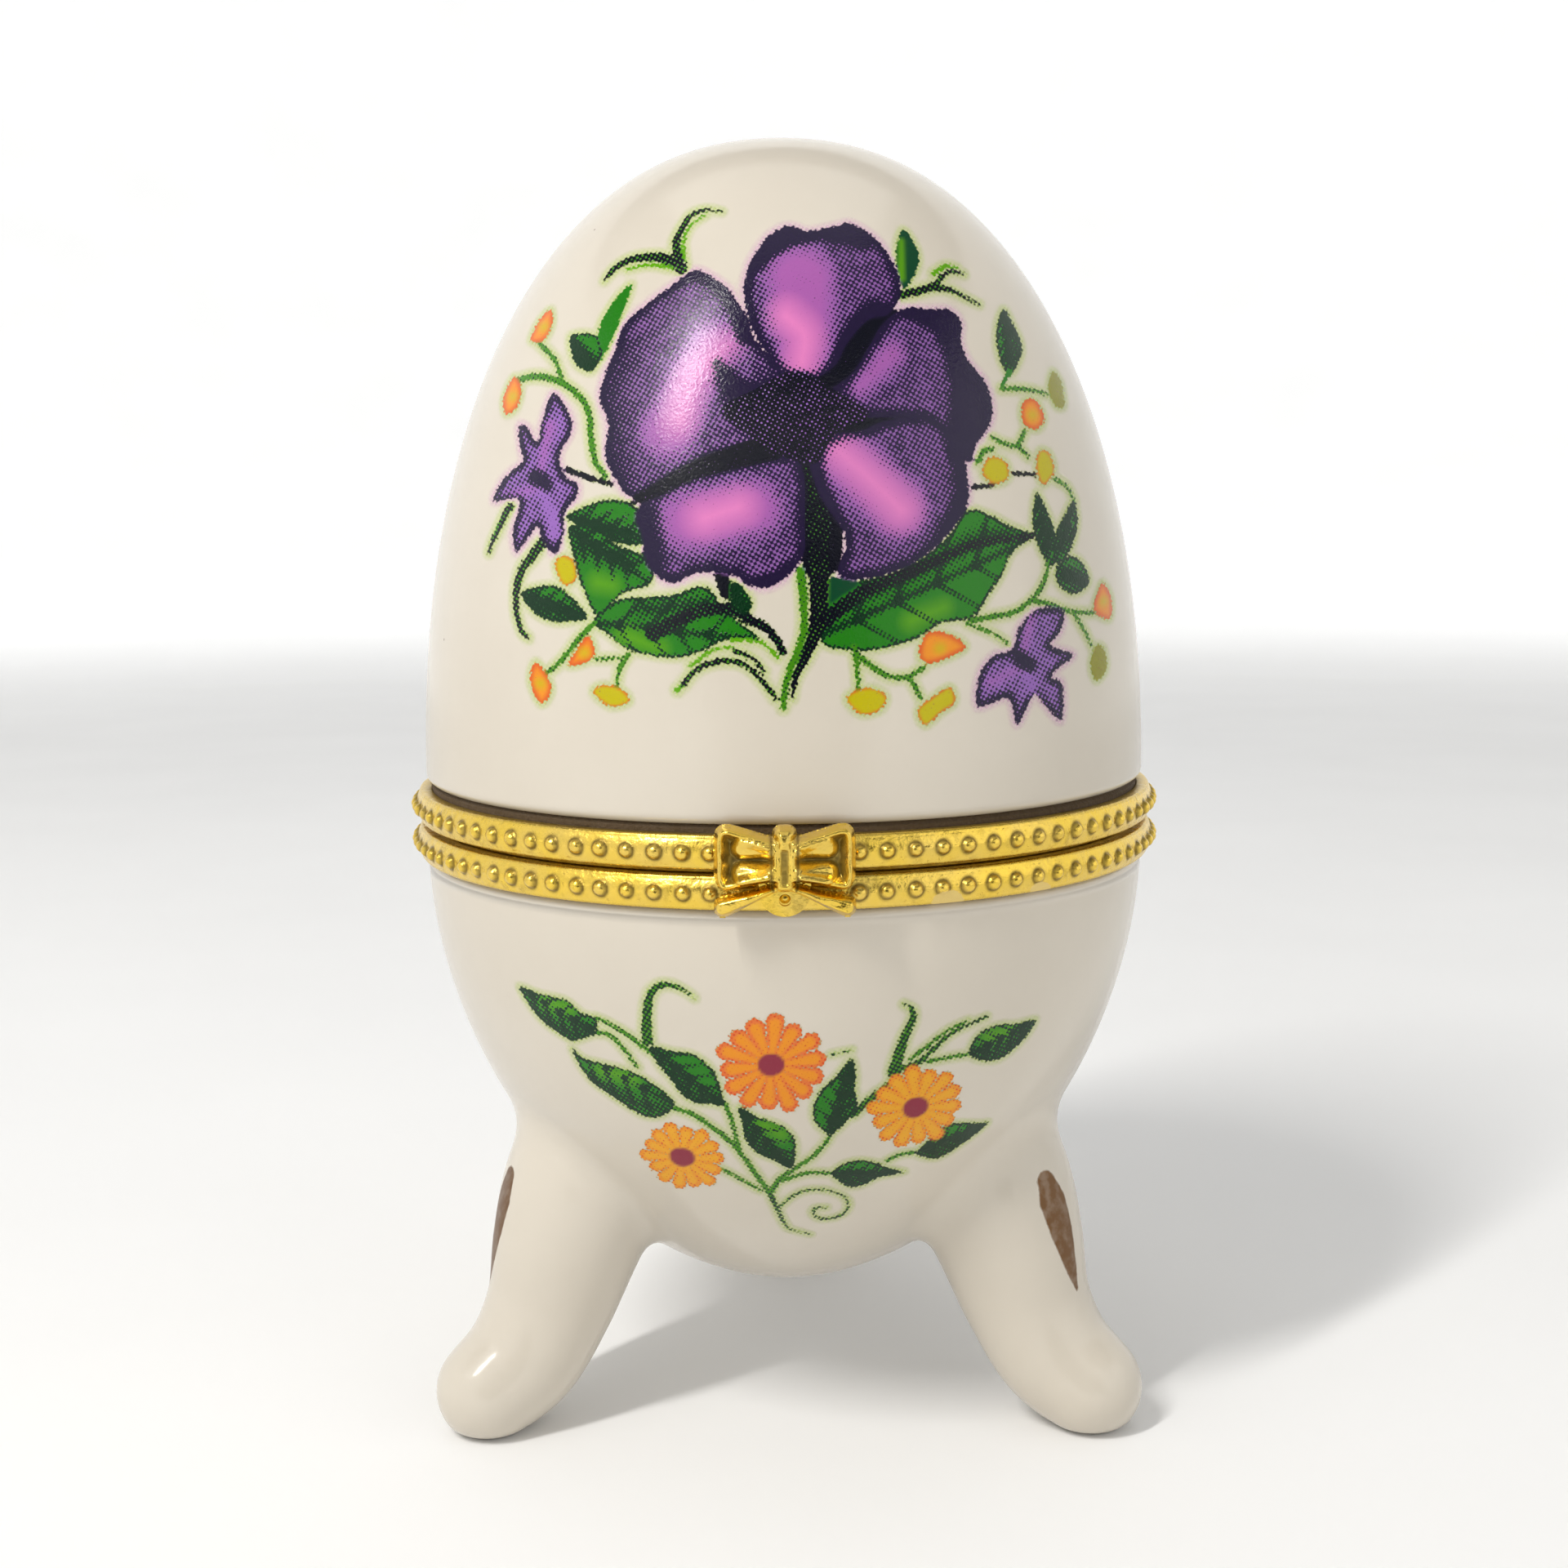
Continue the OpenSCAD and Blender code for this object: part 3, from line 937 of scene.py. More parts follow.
@dataclass
class FootedBowl:
    """The porcelain lower half with three feet grown out of it."""

    outer: EggHalf = EggHalf(27.4, 42.3, -34.6, 1.85, 1.8)
    inner: EggHalf = EggHalf(24.9, 42.3, -32.1, 1.85, 1.8)
    rim_round: float = 0.7
    spigot_r: float = 26.7
    spigot_z: float = 43.85
    lip_round: float = 0.2
    step_up: float = 0.4
    join_z: float = 31.5
    trim_over: float = 1.0
    cap_over: float = 3.0
    foot_turns: tuple = (210.0, 330.0, 90.0)
    foot_line: tuple = (
        (15.22, 22.0, 6.5), (17.7, 17.4, 6.15), (19.2, 13.6, 5.6),
        (20.7, 9.05, 4.8), (22.9, 5.3, 4.4), (25.83, 3.1, 3.95),
    )
    foot_samples: int = 64
    blend: float = 1.9
    pad_round: float = 0.9
    voxel: float = 0.42
    furthest_move: float = 0.4
    wall_rows: int = 18
    inner_steps: int = 42
    stroke_line: tuple = ((18.9, -0.2), (16.4, 0.1), (13.4, 0.5), (10.6, 1.1))
    stroke_shifts: tuple = (0.7, -1.9, 0.4)
    stroke_sides: tuple = (-1, 1, 1)
    stroke_places: tuple = (0.0, 0.2, 0.45, 0.8, 1.0)
    stroke_widths: tuple = (1.7, 2.5, 2.3, 1.2, 0.3)
    stroke_from: float = 17.5

    def chain(self) -> Array:
        """Strings balls closely along a foot's centre line.

        Returns:
            Their (out, up, radius) rows.
        """
        line = np.array(self.foot_line)
        low = smooth_path(tuple(map(tuple, line[:, :2])), steps=24)
        radii = smooth_path(tuple(zip(range(len(line)), line[:, 2])), steps=24)[:, 1]
        pick = np.linspace(0, len(low) - 1, self.foot_samples).round().astype(int)
        return np.column_stack([low[pick], radii[pick]])

    def in_foot_frame(self, p: Array) -> tuple[Array, Array]:
        """Turns points into the frame of their nearest foot.

        Args:
            p: The points.

        Returns:
            Their distances outwards along that foot, and across it.
        """
        angle = np.arctan2(p[:, 1], p[:, 0])
        step = TURN / len(self.foot_turns)
        first = math.radians(self.foot_turns[0])
        local = (angle - first + step / 2) % step - step / 2
        r = np.hypot(p[:, 0], p[:, 1])
        return r * np.cos(local), r * np.sin(local)

    def skin(self, p: Array) -> Array:
        """The rough distance outside the footed skin, below zero inside.

        Args:
            p: The points.

        Returns:
            The distance.
        """
        body = self.outer.field(np.hypot(p[:, 0], p[:, 1]), p[:, 2])
        out, across = self.in_foot_frame(p)
        foot = np.full(len(p), FAR)
        for s, up, r in self.chain():
            foot = np.minimum(foot, np.sqrt((out - s) ** 2 + across**2 + (p[:, 2] - up) ** 2) - r)
        both = self._soft_min(body, foot, self.blend)
        return -self._soft_min(-both, p[:, 2], self.pad_round)

    def _soft_min(self, a: Array, b: Array, reach: float) -> Array:
        """The lower of two fields, with a fillet of that reach between them."""
        h = np.clip(0.5 + 0.5 * (b - a) / reach, 0, 1)
        return b * (1 - h) + a * h - reach * h * (1 - h)

    def settle(self, p: Array, rounds: int = 4) -> Array:
        """Moves points onto the skin.

        Args:
            p: The points.
            rounds: How many times they step towards it.

        Returns:
            The moved points.
        """
        for _ in range(rounds):
            away = np.clip(self.skin(p), -self.furthest_move, self.furthest_move)
            p = p - away[:, None] * self.lean(p)
        return p

    def lean(self, p: Array) -> Array:
        """The skin's outward direction near points.

        Args:
            p: The points.

        Returns:
            One unit vector for each.
        """
        nudge = 0.02
        steps = np.eye(3) * nudge
        slope = np.column_stack([self.skin(p + s) - self.skin(p - s) for s in steps])
        return slope / np.maximum(np.linalg.norm(slope, axis=1), TINY)[:, None]

    def rough_solid(self) -> bpy.types.Object:
        """Joins the bowl and its feet as overlapping closed skins.

        Returns:
            The object, with a remesh that melts them together.
        """
        cap_z = self.join_z + self.cap_over
        skin = [p for p in self.outer.section(60) if p[1] < cap_z]
        bowl = revolve([(0.0, cap_z), (float(self.outer.radius(cap_z)), cap_z)] + skin, 160)
        work = bmesh.new()
        mesh = bpy.data.meshes.new("rough_bowl")
        mesh.from_pydata(bowl.points.tolist(), [], bowl.faces)
        work.from_mesh(mesh)
        bmesh.ops.recalc_face_normals(work, faces=work.faces[:])
        for turn in self.foot_turns:
            c, s = math.cos(math.radians(turn)), math.sin(math.radians(turn))
            for out, up, r in self.chain()[::3]:
                ball = bmesh.ops.create_icosphere(work, subdivisions=4, radius=r)
                bmesh.ops.translate(work, verts=ball["verts"], vec=(out * c, out * s, up))
        work.to_mesh(mesh)
        work.free()
        thing = place("rough_bowl", mesh)
        remesh = thing.modifiers.new("remesh", "REMESH")
        remesh.mode = "VOXEL"
        remesh.voxel_size = self.voxel
        return thing

    def lower_skin(self) -> BMesh:
        """Makes the footed skin below the join.

        Returns:
            A mesh with one open ring at its top.
        """
        thing = self.rough_solid()
        made = thing.evaluated_get(bpy.context.evaluated_depsgraph_get()).to_mesh()
        work = bmesh.new()
        work.from_mesh(made)
        bpy.data.objects.remove(thing)
        self._trim(work, self.join_z + self.trim_over)
        for _ in range(2):
            bmesh.ops.smooth_vert(
                work, verts=work.verts[:], factor=0.5, use_axis_x=True, use_axis_y=True, use_axis_z=True
            )
            self._settle_mesh(work)
        self._trim(work, self.join_z)
        return work

    def _trim(self, work: BMesh, z: float) -> None:
        """Cuts away all that stands above a height.

        Args:
            work: The mesh.
            z: The height.
        """
        bmesh.ops.bisect_plane(
            work, geom=work.verts[:] + work.edges[:] + work.faces[:], dist=1e-4,
            plane_co=(0, 0, z), plane_no=(0, 0, 1), clear_outer=True,
        )

    def _settle_mesh(self, work: BMesh) -> None:
        """Puts every point of a mesh on the skin.

        Args:
            work: The mesh.
        """
        p = self.settle(np.array([v.co[:] for v in work.verts]))
        for v, co in zip(work.verts, p):
            v.co = co

    def upper_section(self) -> list[Point]:
        """Draws the profile above the join, over the rim and down the cavity to its floor.

        Returns:
            Its (radius, height) points.
        """
        rim, r, lip = self.outer.rim_z, self.outer.mouth_r, self.lip_round
        top = rim - self.rim_round
        heights = np.linspace(self.join_z, top, self.wall_rows)[1:]
        made = [(float(self.outer.radius(z)), float(z)) for z in heights]
        made += arc((r - self.rim_round, top), self.rim_round, 0, 90, 6)
        made += [(self.spigot_r, self.spigot_z - lip), (self.spigot_r - lip, self.spigot_z)]
        made += [(self.inner.mouth_r + lip, self.spigot_z)]
        made += [(self.inner.mouth_r, self.spigot_z - lip), (self.inner.mouth_r, rim + self.step_up)]
        return made + self.inner.section(self.inner_steps)

    def shape(self) -> Shape:
        """Joins the footed skin to the turned wall.

        Returns:
            The whole shell, with its gilding kept.
        """
        work = self.lower_skin()
        ring = [v for v in work.verts if v.is_boundary]
        ring.sort(key=lambda v: math.atan2(v.co.y, v.co.x))
        turns = [math.atan2(v.co.y, v.co.x) for v in ring]
        last = ring
        for r, z in self.upper_section():
            if r < ON_AXIS:
                tip = work.verts.new((0, 0, z))
                for a, b in zip(last, last[1:] + last[:1]):
                    work.faces.new((a, b, tip))
                break
            fresh = [work.verts.new((r * math.cos(t), r * math.sin(t), z)) for t in turns]
            for i, a in enumerate(last):
                j = (i + 1) % len(last)
                work.faces.new((a, last[j], fresh[j], fresh[i]))
            last = fresh
        work.verts.index_update()
        points = np.array([v.co[:] for v in work.verts])
        faces = [[v.index for v in f.verts] for f in work.faces]
        work.free()
        return Shape(points, faces, {"gilding": self.gilding(points)})

    def gilding(self, p: Array) -> Array:
        """How far points lie inside the bronze stroke down each foot's ridge.

        Args:
            p: The points.

        Returns:
            The distance in from the stroke's edge, below zero outside.
        """
        out, across = self.in_foot_frame(p)
        path = smooth_path(self.stroke_line)
        widths = np.interp(np.linspace(0, 1, len(path)), self.stroke_places, self.stroke_widths)
        depth = np.full(len(p), UNTOUCHED)
        for turn, shift, side in zip(self.foot_turns, self.stroke_shifts, self.stroke_sides):
            gap = np.arctan2(p[:, 1], p[:, 0]) - math.radians(turn)
            mine = (np.cos(gap) > math.cos(TURN / 6)) & (out > self.stroke_from)
            stroke = path_depth(path, widths, p[:, 2], across * side - shift)
            depth = np.where(mine, stroke, depth)
        return depth

    def build(self) -> None:
        """Makes and dresses the shell."""
        glaze = Glaze(name="bowl_glaze", gilded=True).material()
        self.shape().piece("footed_bowl", "base", "base_porcelain", glaze, stands_for=("base_porcelain",))


# ---- metalwork


class Half(Enum):
    """Which of the two rims a band belongs to."""

    BASE = "base"
    LID = "lid"


@dataclass
class BeadedBand:
    """A stamped rim with a row of small beads round its crown."""

    half: Half
    low_z: float
    high_z: float
    band_r: float = 27.95
    crown: float = 0.25
    seat_r: float = 27.0
    flange_r: float = 26.2
    flange_t: float = 0.6
    seat_drop: float = 0.35
    lip: tuple | None = None
    bead_r: float = 0.5
    bead_rise: float = 0.4
    bead_pitch: float = 1.95
    steps_per_bead: int = 18
    rows: int = 24
    edge_round: float = 0.22
    bow_gap: float = 9.7
    hinge_gap: float = 10.4
    bead_reach: float = 1.6
    link_reach: float = 1.2
    link_width: float = 0.16
    groove_off: float = 0.72
    groove_width: float = 0.16
    groove_deep: float = 0.05
    # Where the painted shade ring round each bead's foot sits, and how wide it is.
    shade_ring_out: float = 1.08
    shade_ring_width: float = 0.13
    bare_patches: tuple = ((10.8, 2.4, 1.0), (17.4, 1.7, 0.75))
    # Painted shade on the hidden faces in the seams, with a little tarnish, and lighter painted shade on the
    # rounded edges.
    hidden_shade: float = 0.65
    edge_shade: float = 0.25
    seed: int = 7

    @property
    def crown_r(self) -> float:
        """The radius at the top of the crown."""
        return self.band_r + self.crown

    @property
    def places(self) -> int:
        """How many beads would fill the whole ring."""
        return round(TURN * self.crown_r / self.bead_pitch)

    @property
    def mid_z(self) -> float:
        """The height of the row of beads."""
        return (self.low_z + self.high_z) / 2

    def section(self) -> tuple[list[Point], int]:
        """The rim's closed profile.

        Returns:
            Its points, and how many of them are on the outer face.
        """
        e = self.edge_round
        half = (self.high_z - self.low_z) / 2 - e
        zs = np.linspace(self.low_z + e, self.high_z - e, self.rows)
        bulge = 1 - ((zs - self.mid_z) / half) ** 2
        face = list(zip((self.band_r + self.crown * bulge).tolist(), zs.tolist()))
        foot = arc((self.band_r - e, self.low_z + e), e, -90, 0, 4)[:-1]
        head = arc((self.band_r - e, self.high_z - e), e, 0, 90, 4)[1:]
        if self.half is Half.BASE:
            lip_in, lip_out, lip_z = self.lip
            under = self.high_z - self.flange_t
            back = [(lip_out, self.high_z), (lip_out, lip_z), (lip_in, lip_z), (lip_in, under)]
            back += [(self.seat_r, under), (self.seat_r, self.low_z)]
        else:
            over = self.low_z + self.flange_t
            back = [(self.seat_r, self.high_z), (self.seat_r, over)]
            back += [(self.flange_r, over), (self.flange_r, self.low_z - self.seat_drop)]
            back += [(self.seat_r, self.low_z - self.seat_drop), (self.seat_r, self.low_z)]
        ring = [foot[0]] + [head[-1]] + back
        soft = rounded(ring, 0.1, 2)
        return foot + face + head + soft[6:], len(foot)

    def beads(self) -> tuple[Array, Array, Array]:
        """Where the beads sit.

        Returns:
            Their turns in radians, their sizes, and the rise of the seam that joins each to the next.
        """
        draw = random.Random(self.seed)
        turns = FRONT + (np.arange(self.places) + 0.5) * TURN / self.places
        turns = turns + np.array([draw.uniform(-0.06, 0.06) for _ in turns]) / self.band_r
        sizes = np.array([draw.uniform(0.9, 1.04) for _ in turns])
        links = np.array([max(0.0, draw.uniform(-0.12, 0.12)) for _ in turns])
        clear_of_bow = np.abs(turn_from(FRONT, turns)) > math.radians(self.bow_gap)
        shown = clear_of_bow & (np.abs(turn_from(REAR, turns)) > math.radians(self.hinge_gap))
        return turns[shown], sizes[shown], links[shown]

    def relief(self, turn: Array, z: Array) -> tuple[Array, Array]:
        """How high the stamping stands.

        Args:
            turn: The points' turns.
            z: Their heights.

        Returns:
            The rise above the crown, and the painted shade round each bead's foot.
        """
        rise = 0.012 * np.sin(turn * 61 + z * 2.1) + 0.01 * np.sin(turn * 113 + 1.3 - z * 1.7)
        rise -= self.groove_deep * hump(np.abs(z - self.mid_z) - self.groove_off, self.groove_width)
        painted_shade = np.zeros(turn.shape)
        for at, size, link in zip(*self.beads()):
            gap = turn_from(at, turn) * self.crown_r
            near = np.abs(gap) < self.bead_reach
            gap, up = gap[near], z[near] - self.mid_z
            d = np.hypot(gap, up)
            dome = np.sqrt(np.maximum(self.bead_r**2 - (d / size) ** 2, 0)) / self.bead_r
            # A ring of painted shade round each bead's foot.
            ring = hump(d - self.bead_r * size * self.shade_ring_out, self.shade_ring_width)
            painted_shade[near] = np.maximum(painted_shade[near], ring)
            high = np.maximum(rise[near], dome * self.bead_rise * size)
            bridge = link * hump(up, self.link_width) * (gap > 0)
            rise[near] = np.maximum(high, np.where(gap < self.link_reach, bridge, high))
        return rise, painted_shade

    def shape(self) -> Shape:
        """Turns the rim and stamps its beads.

        Returns:
            Its skin, with its painted shade and bare patches kept.
        """
        section, skip = self.section()
        columns = self.places * self.steps_per_bead
        shape = revolve(section, columns, wrap=True)
        face = slice(skip * columns, (skip + self.rows) * columns)
        p = shape.points[face]
        turn, z = np.arctan2(p[:, 1], p[:, 0]), p[:, 2]
        rise, painted_shade = self.relief(turn, z)
        r = np.hypot(p[:, 0], p[:, 1]) + rise
        shape.points[face] = np.column_stack([r * np.cos(turn), r * np.sin(turn), z])
        # Painted shade: heavy on the hidden faces, light on the rounded edges, rings round the beads on the
        # face.
        grime_and_shade = np.full(len(shape.points), self.hidden_shade)
        grime_and_shade[: (skip + self.rows + skip) * columns] = self.edge_shade
        grime_and_shade[face] = painted_shade
        shape.kept = {"painted_shade": grime_and_shade, "worn": self.worn(shape.points)}
        return shape

    def worn(self, p: Array) -> Array:
        """How deep points lie in the rim's bare patches.

        Args:
            p: The points.

        Returns:
            The depth, below zero outside.
        """
        depth = np.full(len(p), -1.0)
        if self.half is Half.LID:
            return depth
        for x, wide, tall in self.bare_patches:
            spot = 1 - np.hypot((p[:, 0] - x) / (wide / 2), (p[:, 2] - self.low_z) / tall)
            depth = np.maximum(depth, np.where(p[:, 1] < 0, spot, -1.0))
        return depth

    def build(self) -> None:
        """Makes and dresses the rim."""
        name = self.half.value
        gilt = Gilt(name=f"{name}_band_gilt").material()
        self.shape().piece(f"{name}_beaded_band", name, f"{name}_band", gilt, stands_for=(f"{name}_band",))


@dataclass
class BowCatch:
    """The cast bow that covers the catch."""

    back_r: float = 29.0
    half_width: float = 4.6
    low_z: float = 42.2
    high_z: float = 48.3
    step: float = 0.075
    edge_round: float = 0.38
    loop: Points = (
        (0.2, 47.4), (0.8, 47.5), (2.4, 47.95), (3.6, 48.27), (4.25, 48.12), (4.58, 47.5),
        (4.6, 46.0), (4.6, 44.9), (4.3, 44.1), (3.7, 43.93), (2.4, 44.22), (0.8, 44.5), (0.2, 44.6),
    )
    tail: Points = (
        (0.15, 43.95), (0.75, 43.75), (2.3, 42.98), (3.75, 42.22), (4.35, 42.24), (4.6, 42.6),
        (4.56, 43.25), (4.1, 43.5), (2.4, 43.9), (0.9, 44.35), (0.15, 44.45),
    )
    knot_half: float = 0.8
    knot_low: float = 43.85
    knot_high: float = 48.25
    knot_soft: float = 0.6
    knot_round: float = 0.75
    pods: tuple = (((1.15, 46.62), (2.8, 46.75)), ((1.15, 45.35), (2.8, 45.2)))
    pod_widths: Point = (1.05, 1.4)
    pod_soft: float = 0.42
    spine: Points = ((0.6, 44.05), (4.1, 42.9))
    spine_widths: Point = (0.3, 0.7)
    groove_half: float = 0.3
    groove_low: float = 44.3
    groove_high: float = 46.9
    frame_in: float = 0.4
    frame_width: float = 0.42
    least_rise: float = 0.22

    def depths(self, x: Array, z: Array) -> tuple[Array, Array, Array]:
        """How far points lie inside the loops, the tails and the knot.

        Args:
            x: The points' places across.
            z: Their heights.

        Returns:
            The three depths, below zero outside.
        """
        side = np.abs(x)
        loop = outline_depth(smooth_path(self.loop, closed=True, steps=4), side, z)
        tail = outline_depth(smooth_path(self.tail, closed=True, steps=4), side, z)
        mid, half = (self.knot_low + self.knot_high) / 2, (self.knot_high - self.knot_low) / 2
        soft = self.knot_soft
        dx, dz = side - self.knot_half + soft, np.abs(z - mid) - half + soft
        knot = soft - np.hypot(np.maximum(dx, 0), np.maximum(dz, 0)) - np.minimum(np.maximum(dx, dz), 0)
        return loop, tail, knot

    def depth(self, x: Array, z: Array) -> Array:
        """How far points lie inside the bow's outline."""
        return np.maximum.reduce(self.depths(x, z))

    def height(self, x: Array, z: Array) -> tuple[Array, Array]:
        """The casting's relief.

        Args:
            x: The points' places across.
            z: Their heights.

        Returns:
            How far the front stands off the back, and the painted shade in its flats, grooves and along the
            knot's edge.
        """
        loop, tail, knot = self.depths(x, z)
        side = np.abs(x)
        wave = 0.02 * np.sin(x * 4.1 + z * 2.3) + 0.015 * np.sin(x * 2.2 - z * 5.3)
        frame_rise = hump(loop - self.frame_in, self.frame_width)
        pods = np.zeros(x.shape)
        for line in self.pods:
            pod = path_depth(np.array(line), np.array(self.pod_widths), side, z)
            pods = np.maximum(pods, np.sqrt(np.clip(pod / self.pod_soft, 0, 1)))
        puff = 0.35 * np.clip(1 - side / 3.2, 0, 1)
        loops = self._domed(loop) * (0.34 + 0.95 * frame_rise + 0.72 * pods + puff + wave)
        spine = path_depth(np.array(self.spine), np.array(self.spine_widths), side, z)
        crease = np.clip(1 + spine / 0.5, 0, 1) ** 2
        tails = self._domed(tail) * (0.66 + 0.42 * crease + wave)
        groove = np.clip((self.groove_half - side) / 0.12, 0, 1)
        groove = groove * np.clip((z - self.groove_low) / 0.3, 0, 1)
        groove = groove * np.clip((self.groove_high - z) / 0.3, 0, 1)
        knots = self._domed(knot, self.knot_round) * (1.6 - 0.28 * groove + wave * 0.5)
        high = np.maximum(np.maximum(loops, tails), knots)
        # Painted shade in the flats between frame and pods, in the knot's and tails' groove, and along the
        # knot's edge.
        painted_shade = np.clip(1 - frame_rise - pods * 1.6 - np.clip(1 - loop / 0.3, 0, 1), 0, 1)
        painted_shade = np.where((knots > loops) | (tails > loops), groove * 0.8, painted_shade)
        knot_edge_shade = hump(knot + 0.05, 0.12) * (side > self.knot_half * 0.8)
        return high, np.maximum(painted_shade, knot_edge_shade)

    def _domed(self, depth: Array, reach: float | None = None) -> Array:
        """Rounds a plate over: zero at its edge and one that reach inside."""
        t = 1 - np.clip(depth / (reach or self.edge_round), 0, 1)
        return np.where(depth > 0, np.sqrt(np.maximum(1 - t * t, 0)), 0)

    def shape(self) -> Shape:
        """Makes the casting.

        Returns:
            Its closed skin, with its painted shade kept.
        """
        net, quads = trimmed_grid(
            (-self.half_width - 0.1, self.half_width + 0.1),
            (self.low_z - 0.1, self.high_z + 0.1), self.step, self.depth,
        )
        x, z = net[:, 0], net[:, 1]
        high, painted_shade = self.height(x, z)
        back = np.sqrt(self.back_r**2 - x**2)
        front = np.column_stack([x, -(back + np.maximum(high, self.least_rise)), z])
        rear = np.column_stack([x, -back, z])
        count = len(x)
        edges = rim_edges(quads)
        walls = np.column_stack([edges[:, 1], edges[:, 0], edges[:, 0] + count, edges[:, 1] + count])
        faces = np.vstack([quads, quads[:, ::-1] + count, walls])
        kept = {"painted_shade": np.concatenate([painted_shade, painted_shade * 0]), "worn": np.full(2 * count, -1.0)}
        return Shape(np.vstack([front, rear]), faces.tolist(), kept)

    def build(self) -> None:
        """Makes and dresses the bow."""
        gilt = Gilt(name="bow_gilt", roughness=0.12).material()
        self.shape().piece("bow", "lid", "bow_clasp", gilt, stands_for=("bow_clasp",))


@dataclass
class PlainFittings:
    """The model's own hinge, pin, tongue, catch and cement, given their metals."""

    brass_nodes: tuple = ("base_hinge_leaf", "lid_hinge_leaf", "hinge_pin")
    gilt_nodes: tuple = ("catch_nub", "clasp_tongue")
    cement_nodes: tuple = ("base_cement", "lid_cement")

    def build(self) -> None:
        """Dresses each fitting."""
        for name in self.brass_nodes:
            self._dress(name, DrawnBrass(name=f"{name}_brass").material())
        for name in self.gilt_nodes:
            self._dress(name, Gilt(name=f"{name}_gilt", keeps_shade_and_wear=False, dent_mm=0.06).material())
        for name in self.cement_nodes:
            self._dress(name, Plaster(name=f"{name}_plaster").material())

    def _dress(self, name: str, material: Material) -> None:
        """Puts a finish on one node.

        Args:
            name: The node.
            material: Its finish.
        """
        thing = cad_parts[name]
        if not thing.material_slots:
            thing.data.materials.append(material)
        for place in thing.material_slots:
            place.material = material
        LOG.info("%s: carried over with %s", name, material.name)


# ---- transfer prints


@dataclass(frozen=True)
class Shade:
    """A soft stroke of a second ink inside a patch."""

    path: Points
    ink: Tone
    start: float
    end: float
    strength: float = 1.0
    soft: float = 0.6


@dataclass(frozen=True)
class Patch:
    """A closed shape of ink."""

    edge: Points
    ink: Tone
    rim: Tone | None = None
    rim_width: float = 0.5
    shades: tuple[Shade, ...] = ()
    halo: Tone | None = None
    deep: Tone = Tone.INKWELL
    screen: float = 0.0


@dataclass(frozen=True)
class Stroke:
    """A brush line of ink that swells or tapers."""

    path: Points
    ink: Tone
    start: float = 0.5
    end: float = 0.3
    halo: Tone | None = None
    deep: Tone = Tone.NIGHT
    screen: float = 0.0


